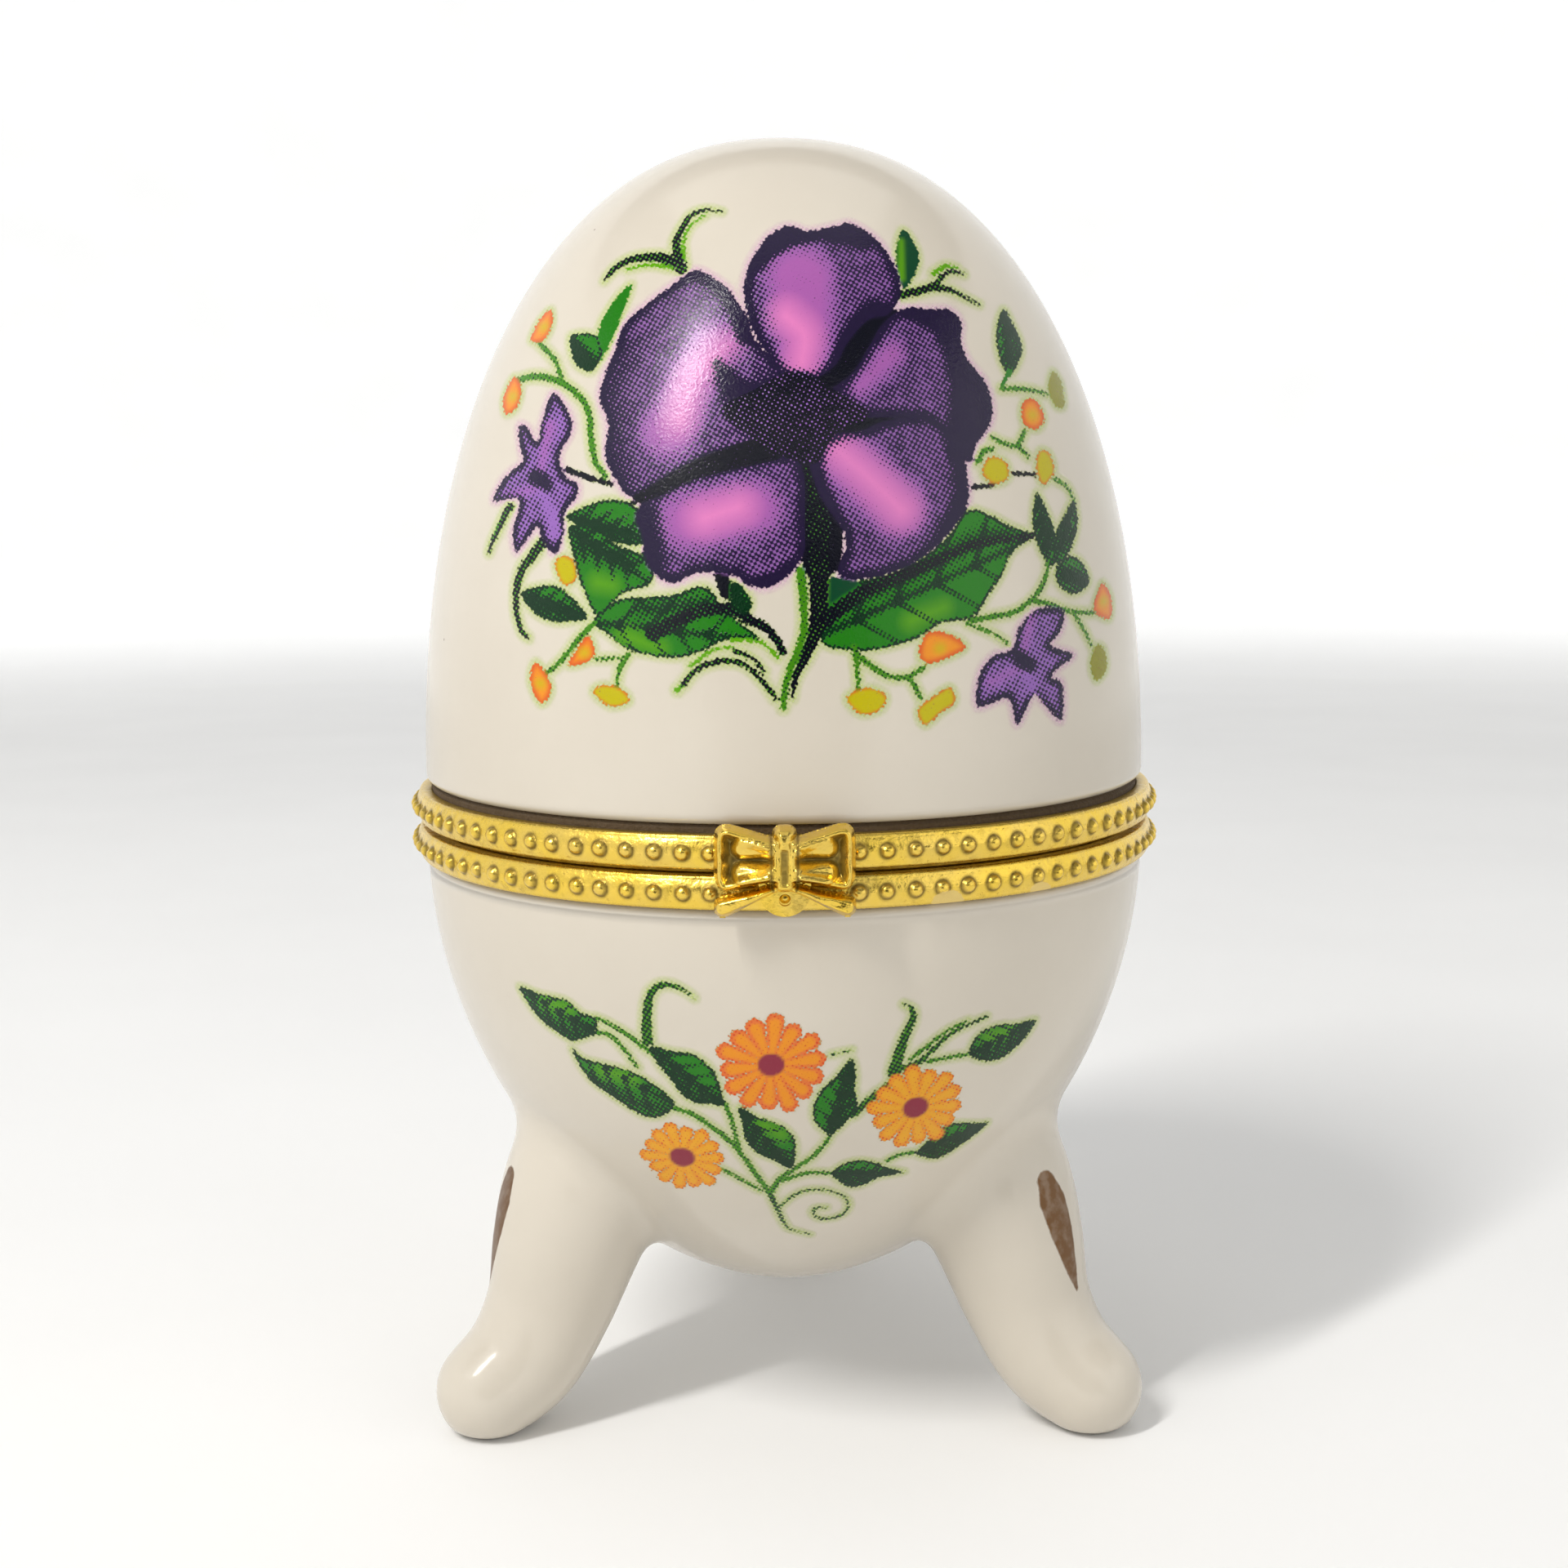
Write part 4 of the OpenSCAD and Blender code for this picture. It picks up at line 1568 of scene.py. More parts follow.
class Easel:
    """Lays inks over a net of points."""

    HALO_REACH = 0.5
    HALO_STRENGTH = 0.62
    SOFT_EDGE = 0.16
    REACH = 1.2

    def __init__(self, x: Array, z: Array) -> None:
        """Starts with bare points.

        Args:
            x: The points' places across.
            z: Their heights.
        """
        self.x, self.z = x, z
        self.ink = np.zeros((len(x), 3))
        self.deep = np.tile(np.array(Tone.NIGHT.linear()), (len(x), 1))
        self.dark = np.zeros(len(x))
        self.depth = np.full(len(x), UNTOUCHED)
        self.halo = np.zeros(len(x))
        self.tint = np.tile(np.array(Tone.HALO.linear()), (len(x), 1))

    def near(self, path: Array, margin: float) -> Array:
        """The points close to a path.

        Args:
            path: The path's points.
            margin: How close counts.

        Returns:
            Their indices.
        """
        low, high = path.min(0) - margin, path.max(0) + margin
        inside = (self.x > low[0]) & (self.x < high[0]) & (self.z > low[1]) & (self.z < high[1])
        return np.flatnonzero(inside)

    def lay(self, at: Array, depth: Array, ink: Array, dark: Array, deep: Tone, halo: Tone | None) -> None:
        """Puts one ink down.

        Args:
            at: The points it may reach.
            depth: How far each lies inside it.
            ink: The ground ink's colour, one for all or one for each point.
            dark: How much of each point its dark dots cover.
            deep: The ink of those dots.
            halo: The pale stain round it, if it has one.
        """
        cover = np.clip(depth / self.SOFT_EDGE + 0.5, 0, 1)
        bare = (self.depth[at] < 0) & (depth > self.depth[at])
        cover = np.where(bare, 1.0, cover)
        wide = cover[:, None]
        self.ink[at] = self.ink[at] * (1 - wide) + ink * wide
        self.deep[at] = self.deep[at] * (1 - wide) + np.array(deep.linear()) * wide
        self.dark[at] = self.dark[at] * (1 - cover) + dark * cover
        self.depth[at] = np.maximum(self.depth[at], depth)
        if halo is not None:
            glow = self.HALO_STRENGTH * np.clip(1 + depth / self.HALO_REACH, 0, 1)
            stronger = glow > self.halo[at]
            self.tint[at[stronger]] = halo.linear()
            self.halo[at] = np.maximum(self.halo[at], glow)

    def patch(self, item: Patch) -> None:
        """Fills a closed shape, then its rim and shades.

        Args:
            item: The shape.
        """
        outline = smooth_path(item.edge, closed=True)
        at = self.near(outline, self.REACH)
        if not len(at):
            return
        x, z = self.x[at], self.z[at]
        depth = outline_depth(outline, x, z)
        colour = np.tile(np.array(item.ink.linear()), (len(at), 1))
        dark = np.full(len(at), item.screen)
        if item.rim is not None:
            edge = 0.86 * np.clip(1.12 - depth / item.rim_width, 0, 1)
            colour, dark = self.blend(colour, dark, edge, item.rim)
        for shade in item.shades:
            path = smooth_path(shade.path)
            widths = np.linspace(shade.start, shade.end, len(path))
            amount = path_depth(path, widths, x, z) / shade.soft + 0.5
            amount = np.clip(amount, 0, 1) * shade.strength
            colour, dark = self.blend(colour, dark, amount, shade.ink)
        self.lay(at, depth, colour, dark, item.deep, item.halo)

    def blend(self, colour: Array, dark: Array, amount: Array, ink: Tone) -> tuple[Array, Array]:
        """Works a second ink into a patch: a dark one as dots, a light one into the ground.

        Args:
            colour: The ground's colour.
            dark: The share of dark dots.
            amount: How much of the second ink there is.
            ink: The second ink.

        Returns:
            The new ground and the new share of dots.
        """
        if ink.deep:
            return colour, dark + (1 - dark) * amount
        wide = amount[:, None]
        ground = colour * (1 - wide) + np.array(ink.linear()) * wide
        return ground, dark * (1 - 0.8 * amount)

    def stroke(self, item: Stroke) -> None:
        """Draws a line.

        Args:
            item: The line.
        """
        path = smooth_path(item.path)
        at = self.near(path, self.REACH + max(item.start, item.end))
        if not len(at):
            return
        widths = np.linspace(item.start, item.end, len(path))
        depth = path_depth(path, widths, self.x[at], self.z[at])
        dark = np.full(len(at), item.screen)
        self.lay(at, depth, np.array(item.ink.linear()), dark, item.deep, item.halo)

    def draw(self, items: list) -> None:
        """Lays patches and strokes in order.

        Args:
            items: The patches and strokes.
        """
        for item in items:
            if isinstance(item, Patch):
                self.patch(item)
            else:
                self.stroke(item)


def flower(
    centre: Point, reach: float, outer: Tone, inner: Tone, petals: int = 14, turn: float = 8.0
) -> list:
    """A round daisy.

    Args:
        centre: Its middle.
        reach: How far its petals go.
        outer: The ink of the petals' edges.
        inner: The ink of their middles.
        petals: How many there are.
        turn: The first petal's angle in degrees.

    Returns:
        Its strokes.
    """
    made = []
    for colour, shrink, wide in ((outer, 0.45, 1.0), (inner, 0.6, 0.62)):
        for i in range(petals):
            a = math.radians(turn + 360 * i / petals)
            tip = reach * (1 + 0.06 * math.sin(i * 2.4)) - shrink
            path = tuple((centre[0] + r * math.cos(a), centre[1] + r * math.sin(a)) for r in (0.9, tip))
            swell = TURN * (reach - 0.6) / petals * wide
            made.append(Stroke(path, colour, 0.55 * wide, swell, None, Tone.FLAME, 0.34 * wide))
    dot = ((centre[0] - 0.08, centre[1]), (centre[0] + 0.08, centre[1] + 0.05))
    return made + [Stroke(dot, Tone.WINE, 1.7, 1.6)]


def leaf(edge: Points, dark: Points = (), lime: Points = (), rib: Points = ()) -> list:
    """A leaf with a dark side, a lime side and a rib.

    Args:
        edge: Its outline.
        dark: The middle of its dark part.
        lime: The middle of its lime part.
        rib: Its rib.

    Returns:
        Its patch and strokes.
    """
    ends = np.array(edge)
    spread = np.linalg.norm(ends[:, None] - ends[None], axis=2)
    tail, tip = ends[list(np.unravel_index(spread.argmax(), spread.shape))]
    along = tip - tail
    across = np.array([-along[1], along[0]])
    shades = [Shade((tuple(tail), tuple(tip)), Tone.PINE, 0.5, 0.3, 0.85, 0.6)]
    if dark:
        shades.append(Shade(dark, Tone.PINE, 1.3, 1.1, 0.74, 1.5))
    if lime:
        shades.append(Shade(lime, Tone.LIME, 1.0, 0.8, 0.85, 1.2))
    for share in (0.16, 0.34, 0.52, 0.7):
        root = tail + along * share
        for side in (-1, 1):
            end = root + 0.16 * along + side * 0.2 * across
            shades.append(Shade((tuple(root), tuple(end)), Tone.PINE, 0.32, 0.1, 0.8, 0.42))
    made = [Patch(edge, Tone.GREEN, Tone.PINE, 0.3, tuple(shades), Tone.HALO, Tone.PINE, 0.12)]
    if rib:
        made.append(Stroke(rib, Tone.GREEN, 1.0, 0.5, None, Tone.NIGHT, 0.72))
    return made


def bud(edge: Points, ink: Tone, heart: Tone | None = None) -> list:
    """A small closed flower.

    Args:
        edge: Its outline.
        ink: Its ink.
        heart: The ink of its middle, if it differs.

    Returns:
        Its patches.
    """
    centre = tuple(np.mean(np.array(edge), 0))
    glow = (Shade((centre, (centre[0] + 0.1, centre[1])), heart, 0.5, 0.5, 0.9, 0.7),) if heart else ()
    rim = Tone.OLIVE if ink is Tone.OLIVE else Tone.FLAME
    width = 0.4 if ink is Tone.ORANGE else 0.16
    return [Patch(edge, ink, rim, width, glow, Tone.HALO, Tone.WINE, 0.16)]


@dataclass
class LidPrint:
    """The pansy, its leaves and the small flowers round it, as (across, height) points."""

    screen: float = 0.54
    core: Shade = Shade(((0.2, 74.7), (2, 74.4)), Tone.NIGHT, 4.4, 4.4, 0.92, 2.8)

    def petal(self, edge: Points, shades: tuple, rim_width: float = 0.7) -> Patch:
        """One petal, dark at its rim and its heart, with shades as rows of a path, an ink and numbers."""
        inks = (*(Shade(*row) for row in shades), self.core)
        return Patch(edge, Tone.ORCHID, Tone.DARK_VIOLET, rim_width, inks, Tone.BLUSH, screen=self.screen)

    def pansy(self) -> list:
        """Draws the five petals, the dark heart and the stems.

        Returns:
            The patches and strokes, lowest ink first.
        """
        left = self.petal(
            ((-5.6, 84.2), (-3.7, 83.1), (-2.8, 81.9), (-2.1, 80.8), (-1.8, 79.7), (-1, 78.6), (0.2, 77.4),
             (0.6, 75.5), (-1, 72.6), (-4.7, 71.6), (-8.2, 69.7), (-9.8, 69.1), (-11, 70.4), (-11.7, 72),
             (-11.5, 74), (-12.1, 75.6), (-11.9, 77), (-11.1, 78.9), (-10.5, 80.6), (-8.9, 82),
             (-7.2, 83.2)),
            (
                (((-7.4, 73.5), (-6, 76.5), (-4.6, 79.2)), Tone.PLUM, 3.2, 2.4, 0.8, 1.6),
                (((-6.6, 74.2), (-5.6, 77), (-3.4, 79)), Tone.PINK, 1.2, 1, 0.6, 2.4),
                (((-7.4, 83.4), (-5, 83.9), (-3, 82.2), (-1.9, 80)), Tone.NIGHT, 0.7, 1.9, 1, 0.7),
                (((-10.8, 70.5), (-11.4, 75), (-10.6, 79)), Tone.DARK_VIOLET, 1.4, 1.2, 0.5, 2),
                (((-4.2, 77.8), (-2.6, 75.6), (-0.4, 74.4)), Tone.NIGHT, 0.5, 3.4, 0.9, 0.9),
            ), rim_width=0.6,
        )
        top = self.petal(
            ((-1.8, 85), (-0.8, 86.4), (0.3, 87.1), (1.1, 87.1), (2, 86.8), (3.9, 87.2), (4.9, 87.4),
             (6.5, 86.4), (7.5, 85), (8.1, 83.5), (8, 82.1), (7.2, 81), (5.8, 80.6), (4.4, 79), (3.6, 77.6),
             (2, 76.7), (0.3, 77.2), (-1, 78.6), (-1.9, 80.2), (-2.4, 82.4), (-2.2, 84)),
            (
                (((1.4, 83.4), (1.6, 80.4), (1.4, 78.2)), Tone.PLUM, 4.2, 2.6, 0.9, 1.6),
                (((0.4, 80.9), (1.6, 79.6), (1.4, 77.8)), Tone.PINK, 1.5, 1.3, 0.85, 2.2),
                (((-2.2, 84.8), (-0.6, 86.2), (2.4, 87.2), (5.6, 86.6)), Tone.NIGHT, 2.2, 1.9, 1, 0.8),
                (((-2.2, 84.6), (-2.4, 82.2), (-1.6, 79.6)), Tone.NIGHT, 1, 0.6, 0.9, 0.6),
                (((6.4, 81.2), (4.9, 79.8), (4.1, 78.2)), Tone.NIGHT, 1.6, 1, 0.9, 0.8),
            ),
        )
        right = self.petal(
            ((2.8, 75.6), (4.6, 77), (5.8, 78.8), (6.8, 80.4), (8.3, 81.5), (10, 81.5), (11.5, 81.5),
             (12.3, 80.6), (12.2, 79.3), (12.8, 77.9), (13.8, 76.7), (14.3, 75), (14, 73.6), (13, 72.4),
             (12.5, 71.2), (10.5, 73), (9.5, 74.1), (6.5, 74.2), (4, 74.2)),
            (
                (((5.2, 76.2), (7.4, 78.4)), Tone.PLUM, 1.2, 1.6, 0.7, 1.2),
                (((8.6, 81.4), (11.2, 80.2), (12.6, 76.6), (12.6, 73.4)), Tone.NIGHT, 0.9, 3, 1, 0.9),
            ),
        )
        low_right = self.petal(
            ((2, 73.2), (5, 73.3), (6.5, 73.9), (8.8, 74.3), (10, 74.2), (11.2, 73.4), (12, 72.3),
             (12.4, 70), (12.3, 68.3), (11.6, 67.3), (10.6, 66.2), (9.5, 65.3), (8.3, 64.6), (7, 64.1),
             (5.5, 63.8), (4.2, 63.8), (3.6, 64.4), (4.1, 65.8), (4, 66.8), (3.2, 68), (2.4, 69.3),
             (1.9, 70.8), (1.5, 72)),
            (
                (((4.2, 71.6), (7.6, 68.4)), Tone.PLUM, 3.2, 3.6, 0.75, 1.6),
                (((3.8, 72), (5.8, 70.2), (7.8, 68.2)), Tone.PINK, 1.2, 1.6, 0.8, 2.4),
                (((11.6, 73), (12.2, 69.6), (10.8, 66.6)), Tone.NIGHT, 1.6, 1, 0.95, 0.9),
                (((2, 73), (2.4, 70.2), (3.6, 67.4)), Tone.NIGHT, 1.2, 0.6, 0.8, 0.7),
            ),
        )
        low_left = self.petal(
            ((-8.6, 69.3), (-6.4, 70.5), (-4.4, 71.1), (-2, 71.5), (0.6, 71.9), (1.5, 70.5), (1.5, 67.5),
             (1.4, 65.4), (0.3, 64), (-1, 63.3), (-2.2, 63.5), (-3.2, 64.1), (-5.4, 64.3), (-7.2, 63.6),
             (-8.8, 64.7), (-9.2, 66.6), (-9.6, 67.8), (-9.2, 68.8)),
            (
                (((-6, 67.6), (-1.8, 68.4)), Tone.PLUM, 3.4, 3.2, 0.85, 1.6),
                (((-5, 67.8), (-2.8, 68.5)), Tone.PINK, 1.4, 1.3, 0.85, 2.4),
                (((-9, 68), (-8.4, 65)), Tone.NIGHT, 1.6, 1.2, 0.8, 1),
                (((-6.8, 63.8), (-2, 63.4), (1, 64.6)), Tone.NIGHT, 0.6, 1, 0.8, 0.7),
            ),
        )
        heart = Patch(
            ((-3.9, 74.7), (-1.6, 76.1), (0, 77), (1.6, 77.2), (3.3, 76.1), (5.8, 74.5), (3.5, 73.1),
             (2.3, 71.3), (0.5, 71.6), (-1.4, 72.6)),
            Tone.PURPLE, deep=Tone.NIGHT, screen=0.72,
        )
        wedge = Stroke(
            ((-9.4, 69.1), (-8, 69.7), (-6.3, 70.6), (-4.7, 71.2), (-3, 71.7), (-0.6, 72.3)),
            Tone.PURPLE, 0.7, 1.7, None, Tone.NIGHT, 0.84,
        )
        stem = (
            (2, 71.4), (2.3, 69.2), (2.4, 66.8), (2.4, 63.8), (2.3, 61.2), (1.6, 59.2),
            (0.8, 57.6), (0.6, 56.2),
        )
        side = ((1.2, 64.4), (1.4, 62), (1.3, 60.2), (0.7, 58.6), (0.2, 57.2), (0, 55.6))
        under = Patch(
            ((-3.4, 79), (-1, 78.2), (2, 77), (4.2, 79.4), (6.2, 81.2), (8.3, 81.2), (6.6, 79.4),
             (5.2, 77.4), (4.2, 75.8), (7, 75), (10.6, 75), (12.2, 73.4), (10, 72.8), (6, 73.2),
             (2.4, 72.6), (2.8, 69.4), (3.9, 67), (3.6, 64.4), (1.6, 64), (0.9, 68), (0.6, 71.4),
             (-3, 70.8), (-8.5, 69), (-9.8, 69), (-5, 72.6)),
            Tone.PURPLE, deep=Tone.NIGHT, screen=0.9,
        )
        return [
            under, Stroke(stem, Tone.LEAF, 2.2, 0.2, Tone.HALO, Tone.NIGHT, 0.74),
            left, top, right, low_right, low_left, wedge, heart,
            Stroke(side, Tone.LEAF, 0.6, 0.4, Tone.HALO, Tone.PINE, 0.3),
        ]

    def leaves(self) -> list:
        """Draws the leaves behind the petals.

        Returns:
            The patches and strokes, lowest ink first.
        """
        made = [
            Patch(
                ((-12.2, 78.2), (-11.4, 79.4), (-10.7, 81.2), (-10, 83.4), (-11.2, 82.4), (-12.3, 80.4)),
                Tone.GREEN, halo=Tone.HALO,
            ),
            *leaf(
                ((-14.4, 80), (-13.7, 80.2), (-12.9, 80.1), (-12.3, 79.8), (-12, 78.6), (-12.6, 77.6),
                 (-13.2, 77.6), (-13.9, 78.1), (-14.3, 79)), dark=((-13.8, 78.4), (-12.6, 78)),
            ),
            *leaf(
                ((-14.4, 67.9), (-13, 68.6), (-11.5, 69), (-10, 68.8), (-9.2, 68), (-8.6, 66.4), (-10, 66),
                 (-12, 66.6), (-13.4, 67.2)), dark=((-13, 67.2), (-10, 66.6)),
            ),
            *leaf(
                ((-14.2, 67.2), (-13.8, 65), (-13.4, 63.6), (-12.2, 61.4), (-10.5, 62.9), (-8.6, 63.6),
                 (-8.6, 65.2), (-10.7, 66), (-12.2, 67.1)),
                dark=((-13.4, 66), (-10, 65.2)), lime=((-12.2, 63.6), (-11.2, 63.4)),
            ),
            *leaf(
                ((-3.6, 61.8), (-5, 63.4), (-7, 62.9), (-9, 62.7), (-10.5, 62.6), (-11.7, 61.9),
                 (-12.6, 61), (-11.5, 60.2), (-10.2, 59.3), (-8.5, 58.9), (-6.8, 58.8), (-5.3, 59.2),
                 (-3.5, 60), (-1.5, 60)),
                dark=((-9, 61.9), (-5, 62.3)), lime=((-10.4, 60.2), (-8, 59.4)),
                rib=((-8.5, 60.3), (-6, 61.6), (-3.6, 62), (-2, 61.2), (-0.8, 60.5), (0, 59.2)),
            ),
            Stroke(((-4, 64.3), (-3.6, 63)), Tone.NIGHT, 0.9, 0.9),
            *leaf(
                ((-17.7, 62.7), (-16.6, 63.2), (-15, 63.3), (-13.7, 62.3), (-12.9, 61.3), (-14, 61),
                 (-15.3, 60.9), (-16.8, 61.5)), dark=((-16.4, 61.8), (-14, 61.4)),
            ),
            *leaf(((-3.3, 63.7), (-2.5, 63.3), (-2, 62.4), (-2.4, 61.6), (-3.3, 62.2))),
            *leaf(
                ((2.4, 60.2), (3.2, 59.4), (6, 59.2), (8.8, 59.9), (10.4, 60.8), (12.6, 61.1), (13.7, 62.5),
                 (14.7, 63.8), (15.4, 65.2), (16.4, 65.9), (17.2, 66.3), (15.4, 67), (13.8, 67.8),
                 (12.3, 68.1), (10.9, 66.4), (9.2, 65.1), (7, 64.1), (4.8, 63.6), (3, 62.4)),
                dark=((4.4, 62.4), (8.4, 64), (12.6, 66), (15, 66.5)), lime=((8.4, 61), (10.6, 61.8)),
                rib=((2.6, 61), (5, 62.8), (8, 64), (10.5, 65), (13, 65.9), (17, 66.3)),
            ),
            Patch(((2.9, 63.9), (5, 63.6), (3.8, 62.7), (3, 62.3)), Tone.FOREST),
            *leaf(
                ((15.6, 81.8), (16.3, 80.6), (16.8, 79.2), (16.4, 78), (15.7, 77.2), (15.1, 77.9),
                 (14.8, 79.3), (15, 80.8)), dark=((16.3, 80.8), (16.3, 78.2)),
            ),
            Stroke(((15.7, 77.4), (15.3, 76.8), (15, 76.2)), Tone.GREEN, 0.4, 0.3),
        ]
        for edge in (
            ((17.4, 69.2), (18.1, 68), (18.7, 66.5), (18.9, 65), (18.3, 64.2), (17.4, 65.5), (17, 67),
             (17.1, 68.3)),
            ((20.2, 68.6), (20.6, 67.5), (20.3, 66), (19.6, 64.8), (18.7, 64.3), (18.6, 66), (19.3, 67.3)),
            ((19.1, 64.5), (20.1, 64.8), (21, 64.1), (21.4, 62.9), (20.1, 62.2), (18.9, 62.9), (18.6, 63.8)),
        ):
            mid = tuple(np.mean(np.array(edge), 0))
            made += leaf(edge, dark=(mid, (mid[0] + 0.4, mid[1] - 0.6)))
        return made

    def sprigs(self) -> list:
        """Draws the dark curling sprigs at the top and foot of the spray.

        Returns:
            The patches and strokes, lowest ink first.
        """
        black = (
            (((-6.6, 84.3), (-6.8, 85.1), (-7, 86.2), (-6.5, 87.4), (-5.9, 88.2), (-5, 88.5),
              (-3.9, 88.3)), 0.75, 0.15),
            (((-6.6, 84.4), (-7.1, 84.8), (-8.2, 85.2), (-9.9, 85.2), (-11, 84.8), (-11.7, 84.2),
              (-12, 83.8)), 0.9, 0.2),
            (((8.1, 82.4), (9.1, 82.7), (10.5, 83.2), (11.6, 84.2), (12.7, 84.1)), 0.6, 0.25),
            (((9, 82.6), (10.4, 83), (11.6, 82.9), (12.7, 82.4), (13.7, 82)), 0.6, 0.2),
            (((-18.6, 68.5), (-18.9, 68.1), (-19.5, 67), (-20, 66.1), (-20.3, 65.4)), 0.6, 0.3),
            (((-16.2, 66.1), (-16.9, 65.2), (-17.6, 64.4), (-18, 63.3), (-18.1, 62.2), (-18, 61.1),
              (-17.6, 60.1), (-17.2, 59.8)), 0.7, 0.3),
            (((-6.5, 57.1), (-5.7, 58), (-4.6, 58.5), (-3.6, 58.6), (-2.5, 58.4), (-1.6, 57.6), (-1, 56.9),
              (-0.5, 56.2)), 0.4, 0.35),
            (((-3.1, 59.3), (-2, 58.8), (-1.2, 57.9)), 0.35, 0.25),
        )
        lime = (
            (((-6.4, 84.9), (-6.5, 86.2), (-6, 87.4), (-5, 88.1)), 0.3, 0.15),
            (((-7.2, 84.4), (-8.8, 84.7), (-10.4, 84.5)), 0.35, 0.2),
            (((10.5, 84), (11.4, 84.6), (12.2, 84.5)), 0.35, 0.25),
            (((-6, 58.3), (-4.6, 59.3), (-3.3, 59.5)), 0.3, 0.2),
            (((-3.3, 60), (-1.4, 59.8), (-0.3, 58.8)), 0.3, 0.2),
            (((-19.2, 67.8), (-19.8, 66.7)), 0.3, 0.2),
            (((-6.9, 56.7), (-6.4, 57.2)), 0.35, 0.3),
        )
        made = [Stroke(path, Tone.LIME, a, b, Tone.HALO) for path, a, b in lime]
        made += [Stroke(path, Tone.LEAF, a, b, Tone.HALO, Tone.NIGHT, 0.62) for path, a, b in black]
        made.append(Patch(
            ((8.3, 82.8), (9, 83.6), (9.5, 84.8), (9.3, 86), (8.5, 87.1), (8, 86), (7.9, 84.4)),
            Tone.FOREST, None, 0.4, (Shade(((8.2, 83.6), (8.3, 86.2)), Tone.LIME, 0.5, 0.4, 0.9, 0.4),),
            Tone.HALO,
        ))
        return made

    def buds(self) -> list:
        """Draws the orange and yellow buds with their stems.

        Returns:
            The patches and strokes, lowest ink first.
        """
        lime = (
            (((-16.9, 79.9), (-16.1, 79.1), (-15.5, 78.5), (-15.1, 77.7), (-14.8, 77)), 0.4),
            (((-18.4, 77.2), (-17.1, 77.4), (-15.8, 77.2), (-14.6, 76.7), (-13.7, 76), (-13.1, 75.3),
              (-12.8, 74.4), (-12.7, 73.3), (-12.5, 72), (-12.3, 71.4), (-11.7, 70.6)), 0.5),
            (((-12.4, 61), (-13.6, 59.8), (-14.4, 58.8), (-15.2, 58), (-15.9, 57.5)), 0.4),
            (((-10.1, 59), (-10.7, 58.1), (-11, 56.8)), 0.35),
            (((-12.4, 58.6), (-10.6, 58.7)), 0.25),
            (((9.2, 58), (8.2, 57.4)), 0.35),
            (((4.6, 59.4), (4.8, 58.2), (4.9, 56.7)), 0.4),
            (((4.7, 59), (6, 58), (7.1, 57.4), (8.2, 57.3), (9, 56)), 0.4),
            (((16.6, 73.3), (16, 72.4), (15, 72.5), (14.2, 72.9)), 0.35),
            (((16, 72.4), (16.8, 71.6)), 0.35),
            (((15, 76.2), (16.9, 76.2), (18.6, 75.9)), 0.35),
            (((12.3, 60.9), (14.3, 61.1), (15.8, 61.4), (17.1, 62.3), (17.9, 63.5), (18.1, 64.5)), 0.4),
            (((16.8, 62), (18.4, 61.6), (19.7, 61.1), (21.7, 60.8)), 0.35),
            (((20, 61), (20.8, 59.8), (21.5, 58.6)), 0.3),
            (((12.2, 60.7), (13.9, 60), (15.1, 59.2)), 0.25),
            (((18.8, 70.1), (19.8, 69.5), (20.4, 68.5)), 0.3),
            (((13.1, 71.3), (13.6, 72), (14.2, 72.1)), 0.4),
        )
        made = [Stroke(path, Tone.LEAF, w, w * 0.8, Tone.HALO, Tone.PINE, 0.34) for path, w in lime]
        made.append(Stroke(((-14.3, 71), (-13, 70.5), (-11.2, 70)), Tone.NIGHT, 0.5, 0.35))
        made.append(Stroke(((15.7, 70.5), (17.3, 70.4)), Tone.NIGHT, 0.35, 0.3))
        made.append(Stroke(((12.7, 69.6), (14.2, 69.7)), Tone.NIGHT, 0.4, 0.3))
        orange = (
            ((-17.5, 80), (-16.9, 81.4), (-16, 82.1), (-15.8, 81), (-16.4, 79.9)),
            ((-18.7, 77.5), (-18, 76.6), (-18.3, 75.3), (-19.2, 74.9), (-19.5, 76.1)),
            ((-12.9, 60.1), (-14.3, 58.1), (-12.5, 58.7)),
            ((-16.6, 58.2), (-17.1, 56.9), (-16.3, 55.4), (-15.5, 56.6)),
            ((8.9, 58.8), (9.5, 58.2), (10.8, 58.5), (12.1, 59.2), (10.9, 60.1), (9.4, 60.2)),
            ((22.6, 62.8), (23.4, 61.6), (23.2, 60.2), (21.8, 60.9), (22, 62)),
            ((16.4, 74.4), (16.8, 73.6), (17.7, 73.5), (18.2, 74.3), (17.6, 75.5), (16.7, 75.4)),
        )
        yellow = (
            ((-15.2, 64.6), (-14.6, 63.4), (-13.7, 63.8), (-13.9, 65), (-14.8, 65.3)),
            ((-12.6, 56.4), (-11.4, 55.5), (-10.1, 55.9), (-10.7, 56.7), (-11.9, 56.9)),
            ((4.1, 56.2), (5, 55.1), (6.3, 55.3), (6.7, 56.2), (5.6, 56.8)),
            ((8.8, 55.2), (9.3, 54.2), (10.4, 55), (11.3, 55.6), (11, 56.6), (9.8, 56)),
            ((13.4, 70.6), (14.2, 69.8), (15.3, 70.2), (15.1, 71.3), (14, 71.6)),
            ((17.4, 70.8), (17.9, 69.7), (18.8, 70.6), (18.5, 71.8), (17.7, 72)),
        )
        olive = (
            ((21.4, 57.2), (21.9, 56.1), (22.8, 56.8), (22.6, 58.2), (21.8, 58.5)),
            ((19.2, 77.6), (19.9, 76.8), (20, 75.2), (19.2, 75.1), (18.7, 76.3)),
        )
        inks = ((orange, (Tone.ORANGE, Tone.YELLOW)), (yellow, (Tone.YELLOW,)), (olive, (Tone.OLIVE,)))
